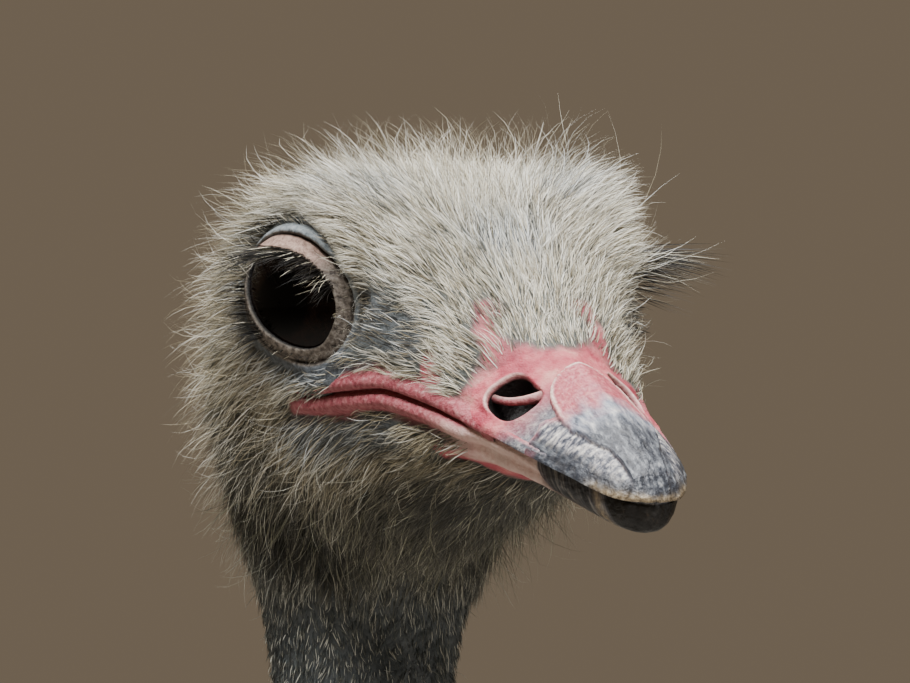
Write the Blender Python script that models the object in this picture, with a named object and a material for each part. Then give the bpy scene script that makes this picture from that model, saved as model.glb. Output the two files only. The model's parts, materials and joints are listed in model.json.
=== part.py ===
"""A male ostrich, standing at its full height, as a still life-size model.

The bird faces -Y, its left side is +X, +Z is up and the floor is z = 0. Sizes are in metres.
Each solid is the outer shape of one named part of the bird, out to the tips of its feathers.
"""

import math

import bmesh
import bpy
from mathutils import Matrix, Vector

# Driving dimensions.
EYE_HEIGHT = 2.330          # the eyes above the floor
EYE_FORWARD = 0.600         # the eyes in front of the middle of the bird
BALL_RADIUS = 0.0240        # an eyeball
BALL_OUT = 0.0280           # its centre from the middle of the head
BALL_BACK = 0.0150          # its centre behind the line of the eyes
DISH_SIZE = (0.0145, 0.0300, 0.0180)  # the hollow round an eye: deep, long, high
DISH_OUT = 0.0520           # its centre from the middle of the head
DISH_TURN = math.radians(25)  # its front end turns inward by this
FLAT_SIDE = 5.0             # how square the bill's halves are where they meet
FAN_BACK = 0.0200           # the line that the back of the head turns about: behind the eyes,
FAN_DOWN = 0.1000           # and below them
NECK_BACK = 0.0660          # the axis of the neck behind the eyes
NECK_SPLIT = 0.50           # share of the neck's stations where it is parted
HIP_OUT = 0.150             # the thighs from the middle of the body
TOE_OUT = 0.135             # the middle toes from the middle of the body
STRIDE = {"left": -0.035, "right": 0.035}  # each foot along Y: the left one stands in front
LEG_BACK = 0.095            # the legs behind the middle of the trunk's own frame
GAP = 0.0006                # left between neighbours

# The head in sections across it: forward of the eyes, top, bottom, half width, level of the widest
# point, how square it is above that, depth of the coat over the top, over the sides, under the chin.
FACE = [
    (0.0640, -0.0115, -0.0440, 0.0248, -0.0330, 1.3, 0.0005, 0.0005, 0.0010),
    (0.0560, -0.0060, -0.0450, 0.0265, -0.0300, 1.6, 0.0030, 0.0020, 0.0035),
    (0.0480, 0.0010, -0.0462, 0.0285, -0.0270, 1.9, 0.0045, 0.0030, 0.0050),
    (0.0400, 0.0080, -0.0475, 0.0310, -0.0230, 2.2, 0.0055, 0.0040, 0.0060),
    (0.0300, 0.0155, -0.0490, 0.0350, -0.0170, 2.5, 0.0060, 0.0055, 0.0075),
    (0.0200, 0.0220, -0.0508, 0.0392, -0.0110, 3.0, 0.0075, 0.0070, 0.0090),
    (0.0100, 0.0265, -0.0530, 0.0422, -0.0070, 3.4, 0.0085, 0.0080, 0.0100),
    (0.0000, 0.0290, -0.0560, 0.0440, -0.0050, 3.6, 0.0090, 0.0085, 0.0110),
    (-0.0100, 0.0300, -0.0595, 0.0450, -0.0050, 3.8, 0.0095, 0.0090, 0.0115),
]
# The back of the head in sections that fan about a line under the throat: angle from upright,
# inner and outer distance from the line, half width, share of the way out to the widest point,
# how square it is beyond that, depth of the coat outside, at the sides and inside.
NAPE = [
    (0.0, 0.0370, 0.1300, 0.0452, 0.62, 3.8, 0.0095, 0.0100, 0.0120),
    (15.0, 0.0355, 0.1270, 0.0440, 0.62, 3.4, 0.0100, 0.0110, 0.0110),
    (30.0, 0.0330, 0.1170, 0.0405, 0.60, 2.8, 0.0100, 0.0120, 0.0090),
    (45.0, 0.0290, 0.0985, 0.0345, 0.56, 2.3, 0.0095, 0.0120, 0.0070),
    (60.0, 0.0260, 0.0820, 0.0288, 0.52, 2.1, 0.0080, 0.0090, 0.0050),
    (75.0, 0.0235, 0.0728, 0.0252, 0.50, 2.0, 0.0055, 0.0055, 0.0040),
    (90.0, 0.0225, 0.0695, 0.0235, 0.50, 2.0, 0.0035, 0.0035, 0.0035),
]
# The upper half of the bill: forward of the eyes, top, bottom, half width, how square it is.
UPPER_BILL = [
    (0.0640, -0.0115, -0.0312, 0.0248, 1.25),
    (0.0740, -0.0158, -0.0342, 0.0230, 1.25),
    (0.0850, -0.0212, -0.0375, 0.0208, 1.25),
    (0.0950, -0.0268, -0.0408, 0.0183, 1.35),
    (0.1040, -0.0325, -0.0440, 0.0155, 1.60),
    (0.1120, -0.0382, -0.0470, 0.0118, 1.90),
    (0.1170, -0.0428, -0.0490, 0.0075, 2.00),
    (0.1200, -0.0468, -0.0496, 0.0025, 2.00),
]
# The lower half, the same way.
LOWER_BILL = [
    (0.0640, -0.0320, -0.0440, 0.0228, 2.3),
    (0.0750, -0.0352, -0.0460, 0.0208, 2.3),
    (0.0860, -0.0386, -0.0485, 0.0184, 2.3),
    (0.0960, -0.0418, -0.0514, 0.0158, 2.3),
    (0.1050, -0.0450, -0.0542, 0.0128, 2.3),
    (0.1120, -0.0476, -0.0562, 0.0096, 2.3),
    (0.1160, -0.0496, -0.0564, 0.0062, 2.3),
    (0.1185, -0.0508, -0.0550, 0.0024, 2.3),
]
# The neck: behind the front of the bird's neck axis at the head, height, radius, depth of coat.
NECK = [
    (0.000, 2.2300, 0.0235, 0.0040),
    (0.000, 2.1500, 0.0238, 0.0036),
    (0.012, 2.0200, 0.0255, 0.0040),
    (0.030, 1.8700, 0.0290, 0.0045),
    (0.040, 1.7200, 0.0340, 0.0060),
    (0.022, 1.5800, 0.0430, 0.0090),
    (-0.035, 1.4700, 0.0560, 0.0140),
    (-0.125, 1.3850, 0.0740, 0.0240),
    (-0.230, 1.3100, 0.0860, 0.0260),
]
# The trunk with its plumage: along Y, top, bottom, half width, level of the widest point.
TRUNK = [
    (-0.545, 1.2500, 1.1700, 0.035, 1.210),
    (-0.520, 1.3350, 1.0800, 0.110, 1.210),
    (-0.445, 1.4120, 0.9700, 0.182, 1.200),
    (-0.300, 1.4620, 0.8850, 0.238, 1.185),
    (-0.120, 1.4900, 0.8550, 0.268, 1.180),
    (0.060, 1.4980, 0.8650, 0.276, 1.190),
    (0.220, 1.4750, 0.9100, 0.262, 1.200),
    (0.360, 1.4200, 0.9800, 0.222, 1.210),
    (0.460, 1.3500, 1.0500, 0.165, 1.210),
    (0.520, 1.2700, 1.1300, 0.085, 1.205),
]
# A folded wing with its drooping plumes, the same way, with its inner and outer side.
WING = [
    (-0.360, 1.3000, 1.1900, 0.120, 0.215),
    (-0.320, 1.3600, 1.1000, 0.130, 0.262),
    (-0.220, 1.4000, 1.0200, 0.130, 0.302),
    (-0.080, 1.4150, 0.9700, 0.130, 0.325),
    (0.080, 1.4050, 0.9250, 0.130, 0.330),
    (0.230, 1.3700, 0.8900, 0.120, 0.315),
    (0.350, 1.3100, 0.8800, 0.110, 0.285),
    (0.440, 1.2300, 0.9000, 0.090, 0.240),
    (0.485, 1.1400, 0.9600, 0.080, 0.180),
]
# The tail's bunch of plumes.
TAIL = [
    (0.400, 1.3600, 1.1600, 0.070, 1.260),
    (0.470, 1.4000, 1.0900, 0.130, 1.260),
    (0.550, 1.4100, 1.0000, 0.165, 1.230),
    (0.640, 1.3800, 0.9100, 0.175, 1.170),
    (0.720, 1.3100, 0.8500, 0.155, 1.100),
    (0.780, 1.2100, 0.8300, 0.115, 1.030),
    (0.810, 1.1000, 0.8700, 0.055, 0.980),
]
# The thigh and drumstick: outward shift, along Y, height, half width across, half width along Y.
THIGH = [
    (0.010, -0.075, 1.1500, 0.082, 0.130),
    (0.012, -0.060, 1.0500, 0.092, 0.146),
    (0.010, -0.032, 0.9400, 0.092, 0.138),
    (0.004, 0.006, 0.8200, 0.077, 0.108),
    (-0.002, 0.042, 0.7100, 0.055, 0.072),
    (-0.006, 0.072, 0.6200, 0.038, 0.043),
    (-0.009, 0.090, 0.5600, 0.034, 0.038),
    (-0.010, 0.100, 0.5200, 0.036, 0.042),
]
# The shank, from the ankle down to the foot, the same way.
SHANK = [
    (-0.010, 0.100, 0.5200, 0.036, 0.042),
    (-0.010, 0.104, 0.4900, 0.037, 0.044),
    (-0.011, 0.098, 0.4500, 0.031, 0.036),
    (-0.012, 0.084, 0.3700, 0.024, 0.028),
    (-0.013, 0.066, 0.2700, 0.0215, 0.026),
    (-0.014, 0.048, 0.1700, 0.0225, 0.027),
    (-0.015, 0.036, 0.1050, 0.0265, 0.031),
]
# The middle toe turns from the shank to the ground: along Y, height, half width, half depth, and
# how far its sections have turned from level to upright.
MIDDLE_TOE = [
    (0.036, 0.1050, 0.0265, 0.031, 0.0),
    (0.030, 0.0780, 0.0290, 0.034, 20.0),
    (0.016, 0.0480, 0.0330, 0.040, 48.0),
    (-0.014, 0.0272, 0.0350, 0.031, 76.0),
    (-0.050, 0.0225, 0.0335, 0.0265, 90.0),
    (-0.090, 0.0202, 0.0300, 0.0240, 90.0),
    (-0.125, 0.0184, 0.0265, 0.0215, 90.0),
    (-0.148, 0.0160, 0.0200, 0.0175, 90.0),
]
# The outer toe: outward, along Y, height, half width, half depth.
OUTER_TOE = [
    (0.010, 0.034, 0.0330, 0.0160, 0.0200),
    (0.028, 0.014, 0.0270, 0.0190, 0.0230),
    (0.042, -0.016, 0.0196, 0.0185, 0.0200),
    (0.051, -0.045, 0.0161, 0.0165, 0.0165),
    (0.056, -0.066, 0.0130, 0.0120, 0.0125),
]
# The heavy nail of the middle toe: along Y, height, half width, half depth.
NAIL = [
    (-0.136, 0.0240, 0.0165, 0.0130),
    (-0.155, 0.0225, 0.0160, 0.0125),
    (-0.178, 0.0185, 0.0130, 0.0105),
    (-0.200, 0.0125, 0.0080, 0.0070),
    (-0.213, 0.0075, 0.0032, 0.0032),
]

# Colours and surfaces: colour, roughness.
FINISHES = {
    "down": ((0.66, 0.62, 0.50), 0.9),
    "neck_down": ((0.22, 0.22, 0.20), 0.9),
    "bill": ((0.62, 0.30, 0.28), 0.45),
    "eye": ((0.02, 0.015, 0.012), 0.08),
    "black_plumes": ((0.02, 0.02, 0.02), 0.85),
    "tail_plumes": ((0.60, 0.52, 0.42), 0.85),
    "bare_skin": ((0.48, 0.36, 0.32), 0.6),
    "scutes": ((0.42, 0.34, 0.30), 0.5),
    "claw": ((0.10, 0.09, 0.08), 0.35),
}


def clear_scene():
    for thing in list(bpy.data.objects):
        bpy.data.objects.remove(thing)


def finish(name):
    """The material of that name, made once."""
    found = bpy.data.materials.get(name)
    if found:
        return found
    made = bpy.data.materials.new(name)
    made.use_nodes = True
    shader = made.node_tree.nodes["Principled BSDF"]
    colour, roughness = FINISHES[name]
    shader.inputs["Base Color"].default_value = (*colour, 1.0)
    shader.inputs["Roughness"].default_value = roughness
    shader.inputs["Metallic"].default_value = 0.0
    return made


def between(rows, at):
    """The row at station number at, on a smooth curve through the rows."""
    first = min(int(at), len(rows) - 2)
    s = at - first
    last = len(rows) - 1
    near = [rows[min(max(first + k, 0), last)] for k in (-1, 0, 1, 2)]
    weights = (
        -0.5 * s + s * s - 0.5 * s**3,
        1.0 - 2.5 * s * s + 1.5 * s**3,
        0.5 * s + 2.0 * s * s - 1.5 * s**3,
        -0.5 * s * s + 0.5 * s**3,
    )
    return tuple(sum(w * row[k] for w, row in zip(weights, near)) for k in range(len(rows[0])))


def stations(rows, per_row, start=0.0, end=1.0):
    """Rows spaced evenly by station number, per_row of them to each row, from one share to another."""
    last = len(rows) - 1
    count = max(2, round(last * per_row * (end - start)))
    return [between(rows, last * (start + (end - start) * k / count)) for k in range(count + 1)]


def section(middle, side, up, half, above, below, count, square_above=2.0, square_below=2.0):
    """One closed ring of points: a rounded shape that reaches above and below its widest level."""
    ring = []
    for k in range(count):
        turn = 2 * math.pi * k / count
        s, c = math.sin(turn), math.cos(turn)
        power = 2.0 / (square_above if c > 0 else square_below)
        reach = above if c > 0 else below
        across = math.copysign(abs(s) ** power, s) * half
        rise = math.copysign(abs(c) ** power, c) * reach
        ring.append(middle + side * across + up * rise)
    return ring


def loft(name, rings, material, collection):
    """A closed solid through the rings, with flat ends."""
    shape = bmesh.new()
    rows = [[shape.verts.new(point) for point in ring] for ring in rings]
    count = len(rings[0])
    for one, two in zip(rows, rows[1:]):
        for k in range(count):
            n = (k + 1) % count
            shape.faces.new((one[k], one[n], two[n], two[k]))
    shape.faces.new(reversed(rows[0]))
    shape.faces.new(rows[-1])
    bmesh.ops.recalc_face_normals(shape, faces=shape.faces)
    mesh = bpy.data.meshes.new(name)
    shape.to_mesh(mesh)
    shape.free()
    mesh.materials.append(finish(material))
    mesh.shade_smooth()
    made = bpy.data.objects.new(name, mesh)
    collection.objects.link(made)
    return made


def swollen(body, collection):
    """A hidden copy of a solid, larger all over by the gap, that cuts its neighbours."""
    shape = bmesh.new()
    shape.from_mesh(body.data)
    shape.normal_update()
    moves = [vert.normal * GAP for vert in shape.verts]
    for vert, move in zip(shape.verts, moves):
        vert.co += move
    mesh = bpy.data.meshes.new(body.name + "_cutter")
    shape.to_mesh(mesh)
    shape.free()
    cutter = bpy.data.objects.new(mesh.name, mesh)
    cutter.hide_render = True
    cutter.display_type = "WIRE"
    collection.objects.link(cutter)
    return cutter


def cut(body, cutter):
    """Takes the cutter's shape out of the body, and keeps the result as the body's own mesh."""
    boolean = body.modifiers.new("cut_" + cutter.name, "BOOLEAN")
    boolean.operation = "DIFFERENCE"
    boolean.solver = "EXACT"
    boolean.object = cutter
    graph = bpy.context.evaluated_depsgraph_get()
    mesh = bpy.data.meshes.new_from_object(body.evaluated_get(graph))
    body.modifiers.remove(boolean)
    body.data = mesh


def head_point(forward, left, up):
    """A point given from the middle of the line between the eyes."""
    return Vector((left, -EYE_FORWARD - forward, EYE_HEIGHT + up))


def face_rings(count):
    """Upright rings from the root of the bill back to the eyes."""
    rings = []
    for forward, top, bottom, half, level, square, over, beside, under in FACE:
        rings.append(
            section(
                head_point(forward, 0, level), Vector((1, 0, 0)), Vector((0, 0, 1)),
                half + beside, top + over - level, level - bottom + under, count, square,
            )
        )
    return rings


def nape_rings(count):
    """Rings that fan from upright behind the eyes to level at the top of the neck."""
    rings = []
    for angle, inner, outer, half, share, square, over, beside, under in NAPE:
        turn = math.radians(angle)
        away = Vector((0, math.sin(turn), math.cos(turn)))
        pivot = head_point(-FAN_BACK, 0, -FAN_DOWN)
        wide = inner + (outer - inner) * share
        rings.append(
            section(
                pivot + away * wide, Vector((1, 0, 0)), away,
                half + beside, outer + over - wide, wide - inner + under, count, square,
            )
        )
    return rings


def make_head(collection, cutters):
    """Skull, cheeks and throat, with the two eye sockets opened to the side."""
    head = loft("head", face_rings(26) + nape_rings(26), "down", collection)
    for side in (-1, 1):
        bpy.ops.mesh.primitive_uv_sphere_add(
            segments=16, ring_count=9, radius=1.0,
            location=head_point(-BALL_BACK, side * BALL_OUT, 0),
        )
        ball = bpy.context.object
        ball.scale = (BALL_RADIUS + GAP,) * 3
        hide_cutter(ball, cutters)
        bpy.ops.mesh.primitive_uv_sphere_add(
            segments=16, ring_count=9, radius=1.0,
            location=head_point(0, side * DISH_OUT, 0),
        )
        dish = bpy.context.object
        dish.scale = DISH_SIZE
        dish.rotation_euler = (0, 0, -side * DISH_TURN)
        hide_cutter(dish, cutters)
        for cutter in (dish, ball):
            cut(head, cutter)
    return head


def hide_cutter(cutter, cutters):
    """Moves a primitive into the cutters' collection."""
    for home in list(cutter.users_collection):
        home.objects.unlink(cutter)
    cutters.objects.link(cutter)
    cutter.hide_render = True
    cutter.display_type = "WIRE"
    bpy.context.view_layer.update()


def make_eyes(collection):
    for name, side in (("eye_left", 1), ("eye_right", -1)):
        bpy.ops.mesh.primitive_uv_sphere_add(
            segments=16, ring_count=9, radius=BALL_RADIUS,
            location=head_point(-BALL_BACK, side * BALL_OUT, 0),
        )
        eye = bpy.context.object
        eye.name = name
        eye.data.materials.append(finish("eye"))
        eye.data.shade_smooth()
        for home in list(eye.users_collection):
            home.objects.unlink(eye)
        collection.objects.link(eye)


def make_bill(name, rows, widest, upper, collection):
    """Half of the bill, widest at that share of its depth. It is flat on the side where the halves meet."""
    rings = []
    for number, (forward, top, bottom, half, square) in enumerate(rows):
        above, below = (square, FLAT_SIDE) if upper else (FLAT_SIDE, square)
        level = bottom + (top - bottom) * widest
        shift = GAP if number == 0 else 0.0
        rings.append(
            section(
                head_point(forward + shift, 0, level), Vector((1, 0, 0)), Vector((0, 0, 1)),
                half, top - level, level - bottom, 24, above, below,
            )
        )
    return loft(name, rings, "bill", collection)


def neck_rings(rows, count):
    """Rings square to the neck's own line."""
    points = [Vector((0, NECK_BACK - EYE_FORWARD - forward, height)) for forward, height, _, _ in rows]
    rings = []
    for number, (_, _, radius, coat) in enumerate(rows):
        before, after = points[max(number - 1, 0)], points[min(number + 1, len(points) - 1)]
        along = (before - after).normalized() if number else Vector((0, 0, 1))
        across = Vector((1, 0, 0))
        front = along.cross(across)
        rings.append(section(points[number], across, front, radius + coat, radius + coat, radius + coat, count))
    return rings


def make_neck(collection, trunk_cutter):
    """The neck in two lengths. The lower one ends against the trunk."""
    rows = stations(NECK, 3)
    parted = round((len(rows) - 1) * NECK_SPLIT)
    rings = neck_rings(rows, 20)
    shift = Vector((0, 0, -GAP))
    rings[0] = [point + shift for point in rings[0]]
    loft("neck_upper", rings[: parted + 1], "neck_down", collection)
    lower = [list(ring) for ring in rings[parted:]]
    lower[0] = [point + shift for point in lower[0]]
    cut(loft("neck_lower", lower, "neck_down", collection), trunk_cutter)


def body_rings(rows, per_row, count, squareness):
    rings = []
    for along, top, bottom, half, level in stations(rows, per_row):
        rings.append(
            section(
                Vector((0, along, level)), Vector((1, 0, 0)), Vector((0, 0, 1)),
                half, top - level, level - bottom, count, squareness, squareness,
            )
        )
    return rings


def make_wing(name, side, collection, cutters, cutters_used):
    """A folded wing lies over the trunk's side and ends in drooping plumes. Returns its own cutter."""
    rings = []
    for along, top, bottom, inner, outer in stations(WING, 1.5):
        middle = Vector((side * (inner + outer) / 2, along, (top + bottom) / 2))
        rings.append(
            section(
                middle, Vector((1, 0, 0)), Vector((0, 0, 1)),
                (outer - inner) / 2, (top - bottom) / 2, (top - bottom) / 2, 16, 2.4, 2.4,
            )
        )
    wing = loft(name, rings, "black_plumes", collection)
    wing_cutter = swollen(wing, cutters)
    for cutter in cutters_used:
        cut(wing, cutter)
    return wing_cutter


def limb_rings(rows, side, per_row, count, foot):
    """Level rings down a leg, and along Y with its foot."""
    rings = []
    for number, (out, along, height, across, deep) in enumerate(stations(rows, per_row)):
        spread = HIP_OUT + (TOE_OUT - HIP_OUT) * min(1.0, (THIGH[0][2] - height))
        share = min(1.0, max(0.0, (THIGH[0][2] - height) / THIGH[0][2]))
        middle = Vector((side * (spread + out), along + LEG_BACK + foot * share, height))
        rings.append(section(middle, Vector((1, 0, 0)), Vector((0, -1, 0)), across, deep, deep, count))
    return rings


def make_leg(name, side, collection, cutters, trunk_cutter):
    """One leg: thigh, shank, two toes and the nail. Returns the thigh's cutter."""
    foot = STRIDE[name]
    lower = Vector((0, 0, -GAP))
    thigh = loft("thigh_" + name, limb_rings(THIGH, side, 1.5, 18, foot), "bare_skin", collection)
    thigh_cutter = swollen(thigh, cutters)
    cut(thigh, trunk_cutter)
    rings = limb_rings(SHANK, side, 1.5, 16, foot)
    rings[0] = [point + lower for point in rings[0]]
    loft("shank_" + name, rings, "scutes", collection)
    ankle_share = 1.0 - SHANK[-1][2] / THIGH[0][2]
    shift = Vector((side * (TOE_OUT + SHANK[-1][0]), LEG_BACK + foot * ankle_share, 0))
    toe = make_middle_toe("middle_toe_" + name, shift, lower, collection)
    toe_cutter = swollen(toe, cutters)
    rings = []
    for out, along, height, half, deep in stations(OUTER_TOE, 2):
        turn = math.radians(side * 22.0)
        across = Vector((math.cos(turn), math.sin(turn), 0))
        middle = shift + Vector((side * out, along, height))
        rings.append(section(middle, across, Vector((0, 0, 1)), half, deep, deep, 14))
    outer = loft("outer_toe_" + name, on_floor(rings), "scutes", collection)
    cut(outer, toe_cutter)
    rings = []
    for along, height, half, deep in stations(NAIL, 2):
        middle = shift + Vector((0, along, height))
        rings.append(section(middle, Vector((1, 0, 0)), Vector((0, 0, 1)), half, deep, deep, 12, 2.0, 3.0))
    cut(loft("nail_" + name, on_floor(rings), "claw", collection), toe_cutter)
    return thigh_cutter


def make_middle_toe(name, shift, lower, collection):
    rings = []
    for number, (along, height, half, deep, turned) in enumerate(stations(MIDDLE_TOE, 2)):
        turn = math.radians(turned)
        up = Vector((0, -math.cos(turn), math.sin(turn)))
        middle = shift + Vector((0, along, height))
        ring = section(middle, Vector((1, 0, 0)), up, half, deep, deep, 16, 2.2, 2.2)
        rings.append([point + lower for point in ring] if number == 0 else ring)
    return loft(name, on_floor(rings), "scutes", collection)


def on_floor(rings):
    """Flattens what reaches under the floor, which makes the soles."""
    return [[Vector((point.x, point.y, max(point.z, 0.0))) for point in ring] for ring in rings]


def main():
    clear_scene()
    bird = bpy.data.collections.new("ostrich")
    cutters = bpy.data.collections.new("cutters")
    for collection in (bird, cutters):
        bpy.context.scene.collection.children.link(collection)
    trunk = loft("trunk", body_rings(TRUNK, 2, 28, 2.15), "black_plumes", bird)
    trunk_cutter = swollen(trunk, cutters)
    make_head(bird, cutters)
    make_eyes(bird)
    make_bill("upper_bill", UPPER_BILL, 0.12, True, bird)
    make_bill("lower_bill", LOWER_BILL, 0.7, False, bird)
    make_neck(bird, trunk_cutter)
    thigh_cutters = []
    for name, side in (("left", 1), ("right", -1)):
        thigh_cutters.append(make_leg(name, side, bird, cutters, trunk_cutter))
    wing_cutters = []
    for name, side in (("wing_left", 1), ("wing_right", -1)):
        wing_cutters.append(make_wing(name, side, bird, cutters, [trunk_cutter, *thigh_cutters]))
    tail = loft("tail", body_rings(TAIL, 1.5, 20, 2.2), "tail_plumes", bird)
    for cutter in (trunk_cutter, *wing_cutters):
        cut(tail, cutter)
    centre_on_floor(bird)


def centre_on_floor(collection):
    """Moves the bird along Y so that the origin is under the middle of its length."""
    bpy.context.view_layer.update()
    reach = [
        (thing.matrix_world @ Vector(corner)).y
        for thing in collection.objects
        for corner in thing.bound_box
    ]
    shift = Matrix.Translation((0, -(min(reach) + max(reach)) / 2, 0))
    for thing in collection.objects:
        thing.matrix_world = shift @ thing.matrix_world


main()
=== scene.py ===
"""The looks of a male ostrich: one skin, the horn, the eyes and every layer of its plumage.

The bird faces -Y, its left side is +X, +Z is up and the floor is z = 0. Sizes are in metres.
"""

import functools
import json
import math

import bpy
import numpy as np
from bpy.props import FloatProperty, FloatVectorProperty, IntProperty
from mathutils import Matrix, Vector
from mathutils.bvhtree import BVHTree
from mathutils.kdtree import KDTree

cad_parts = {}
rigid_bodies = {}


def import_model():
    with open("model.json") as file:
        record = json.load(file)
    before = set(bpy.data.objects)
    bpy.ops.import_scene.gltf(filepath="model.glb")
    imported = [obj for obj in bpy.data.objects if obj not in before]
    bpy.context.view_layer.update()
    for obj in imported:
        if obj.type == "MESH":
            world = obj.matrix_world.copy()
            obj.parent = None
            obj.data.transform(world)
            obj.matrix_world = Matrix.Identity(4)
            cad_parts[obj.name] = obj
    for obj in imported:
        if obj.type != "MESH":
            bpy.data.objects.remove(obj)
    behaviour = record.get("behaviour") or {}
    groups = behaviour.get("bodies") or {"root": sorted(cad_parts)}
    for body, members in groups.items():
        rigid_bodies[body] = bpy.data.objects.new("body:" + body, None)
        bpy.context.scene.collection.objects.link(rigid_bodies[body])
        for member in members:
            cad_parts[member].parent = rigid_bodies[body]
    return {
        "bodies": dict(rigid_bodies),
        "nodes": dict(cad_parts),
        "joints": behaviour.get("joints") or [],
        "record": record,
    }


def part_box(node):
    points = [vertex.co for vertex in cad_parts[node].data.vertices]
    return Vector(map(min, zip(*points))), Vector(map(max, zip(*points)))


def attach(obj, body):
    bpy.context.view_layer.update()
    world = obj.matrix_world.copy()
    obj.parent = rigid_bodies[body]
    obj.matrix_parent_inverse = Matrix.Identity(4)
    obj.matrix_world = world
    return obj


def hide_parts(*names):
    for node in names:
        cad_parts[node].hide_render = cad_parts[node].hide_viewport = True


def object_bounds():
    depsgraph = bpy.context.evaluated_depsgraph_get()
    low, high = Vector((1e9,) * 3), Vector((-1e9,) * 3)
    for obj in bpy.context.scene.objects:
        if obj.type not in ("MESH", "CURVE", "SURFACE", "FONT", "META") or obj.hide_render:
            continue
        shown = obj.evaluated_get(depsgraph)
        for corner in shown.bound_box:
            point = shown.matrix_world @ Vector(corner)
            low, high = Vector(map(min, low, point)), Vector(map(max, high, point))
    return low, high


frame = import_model()
CAD_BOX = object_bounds()

bl_info = {
    "name": "Ostrich looks",
    "version": (1, 0, 0),
    "blender": (4, 5, 0),
    "location": "View3D > Sidebar > Ostrich",
    "description": "Builds the skin, horn, eyes and plumage of a standing ostrich",
    "category": "Object",
}

MM = 0.001
BALL_BACK = 15 * MM         # an eyeball's centre behind the line of the eyes
BALL = sum(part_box("eye_left"), Vector()) / 2
BALL_RADIUS = (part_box("eye_left")[1].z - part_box("eye_left")[0].z) / 2
EYE_Y = BALL.y - BALL_BACK  # the line of the eyes along Y
EYE_Z = BALL.z              # and its height
FAN_BACK, FAN_DOWN = 20, 100  # mm behind and below the eyes: the line that the nape turns about
NECK_BACK = 66              # mm from the eyes back to the neck's axis
EYE_AXIS = (0.470, 0.883)   # an eye looks forward by the first share and outward by the second
SIDES = {"left": 1, "right": -1}
ACROSS, UP = np.eye(3)[0], np.eye(3)[2]

# The bill in sections from its tip, in mm: forward of the eyes, top, mouth line, bottom, half width
# of the upper and of the lower half, how square the top is.
BILL = [
    (120.2, -49.55, -49.7, -49.85, 0.15, 0.15, 2.0),
    (119.8, -47.5, -49.7, -51.5, 2.0, 1.2, 2.0),
    (117.0, -42.8, -49.0, -56.0, 7.8, 6.0, 2.0),
    (112.0, -38.2, -46.9, -56.2, 11.8, 9.6, 1.9),
    (104.0, -32.5, -43.6, -54.0, 15.5, 13.2, 1.6),
    (95.0, -26.8, -40.7, -51.1, 18.3, 16.1, 1.35),
    (85.0, -21.2, -37.5, -48.3, 20.8, 18.7, 1.25),
    (74.0, -15.8, -34.1, -45.8, 23.0, 21.0, 1.25),
    (64.0, -11.5, -31.3, -44.0, 24.8, 22.8, 1.3),
]
# The face, in mm: forward of the eyes, top, mouth line, bottom, half width, level of the widest
# point, and how square the top is.
FACE = [
    (56.0, -6.0, -29.2, -45.0, 26.5, -30.0, 1.6),
    (48.0, 1.0, -27.0, -46.2, 28.5, -27.0, 1.9),
    (40.0, 8.0, -24.9, -47.5, 31.0, -23.0, 2.2),
    (30.0, 15.5, -22.6, -49.0, 35.0, -17.0, 2.5),
    (20.0, 22.0, -22.8, -50.8, 39.2, -11.0, 3.0),
    (10.0, 26.5, -23.3, -53.0, 42.2, -7.0, 3.4),
    (0.0, 29.0, -24.0, -56.0, 44.0, -5.0, 3.6),
    (-10.0, 30.0, -23.6, -59.5, 45.0, -5.0, 3.8),
]
# The back of the head in sections that fan about a line under the throat: degrees from upright,
# then in mm the inner and outer distance from that line, half width, and the share of the way out
# to the widest point and how square it is beyond that.
NAPE = [
    (0, 37.0, 130.0, 45.2, 0.62, 3.8),
    (15, 35.5, 127.0, 44.0, 0.62, 3.4),
    (30, 33.0, 117.0, 40.5, 0.60, 2.8),
    (45, 29.0, 98.5, 34.5, 0.56, 2.3),
    (60, 26.0, 82.0, 28.8, 0.52, 2.1),
    (75, 23.5, 72.8, 25.2, 0.50, 2.0),
    (90, 22.5, 69.5, 23.5, 0.50, 2.0),
]
# The neck, in mm: forward of its axis at the head, height, radius of the skin.
NECK = [
    (0, 2212, 23.5),
    (0, 2185, 23.6),
    (0, 2150, 23.8),
    (5, 2090, 24.5),
    (12, 2020, 25.5),
    (30, 1870, 29.0),
    (40, 1720, 34.0),
    (22, 1580, 43.0),
    (-35, 1470, 56.0),
    (-125, 1385, 74.0),
    (-230, 1310, 86.0),
]
RINGS_PER_ROW = [12] * len(BILL) + [9] * len(FACE) + [10] * len(NAPE) + [5] * (len(NECK) - 1)
ABOVE_MOUTH = 40            # columns of the skin from the crown down to the mouth line
BELOW_MOUTH = 32            # and on to the middle of the chin
NEAR_MOUTH = [0, 0.25, 0.55, 0.9, 1.3, 1.8, 2.4, 3.1, 3.9, 4.8, 5.8]  # mm from the mouth line
MOUTH_CORNER = -12.0        # mm forward of the eyes
FAR_FROM_MOUTH = 50.0       # mm from the mouth line, past all that it colours


# ---------------- numbers


def smooth(low, high, value):
    """0 below low, 1 above high and an even turn between."""
    t = np.clip((value - low) / (high - low), 0.0, 1.0)
    return t * t * (3 - 2 * t)


def hump(centre, width, value):
    """1 at the centre, falling away on both sides over the width."""
    return np.exp(-(((value - centre) / width) ** 2))


def spot(points, centre, radius):
    """1 at a point in space, falling away over the radius."""
    away = np.linalg.norm((points - np.asarray(centre)) / np.asarray(radius), axis=-1)
    return np.exp(-(away**2))


def unit(vectors):
    """Vectors of the same directions, one long."""
    return vectors / np.maximum(np.linalg.norm(vectors, axis=-1, keepdims=True), 1e-12)


def together(*values):
    """Coordinates, or other numbers of one thing, side by side along a last axis."""
    return np.stack(np.broadcast_arrays(*values), axis=-1)


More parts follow.
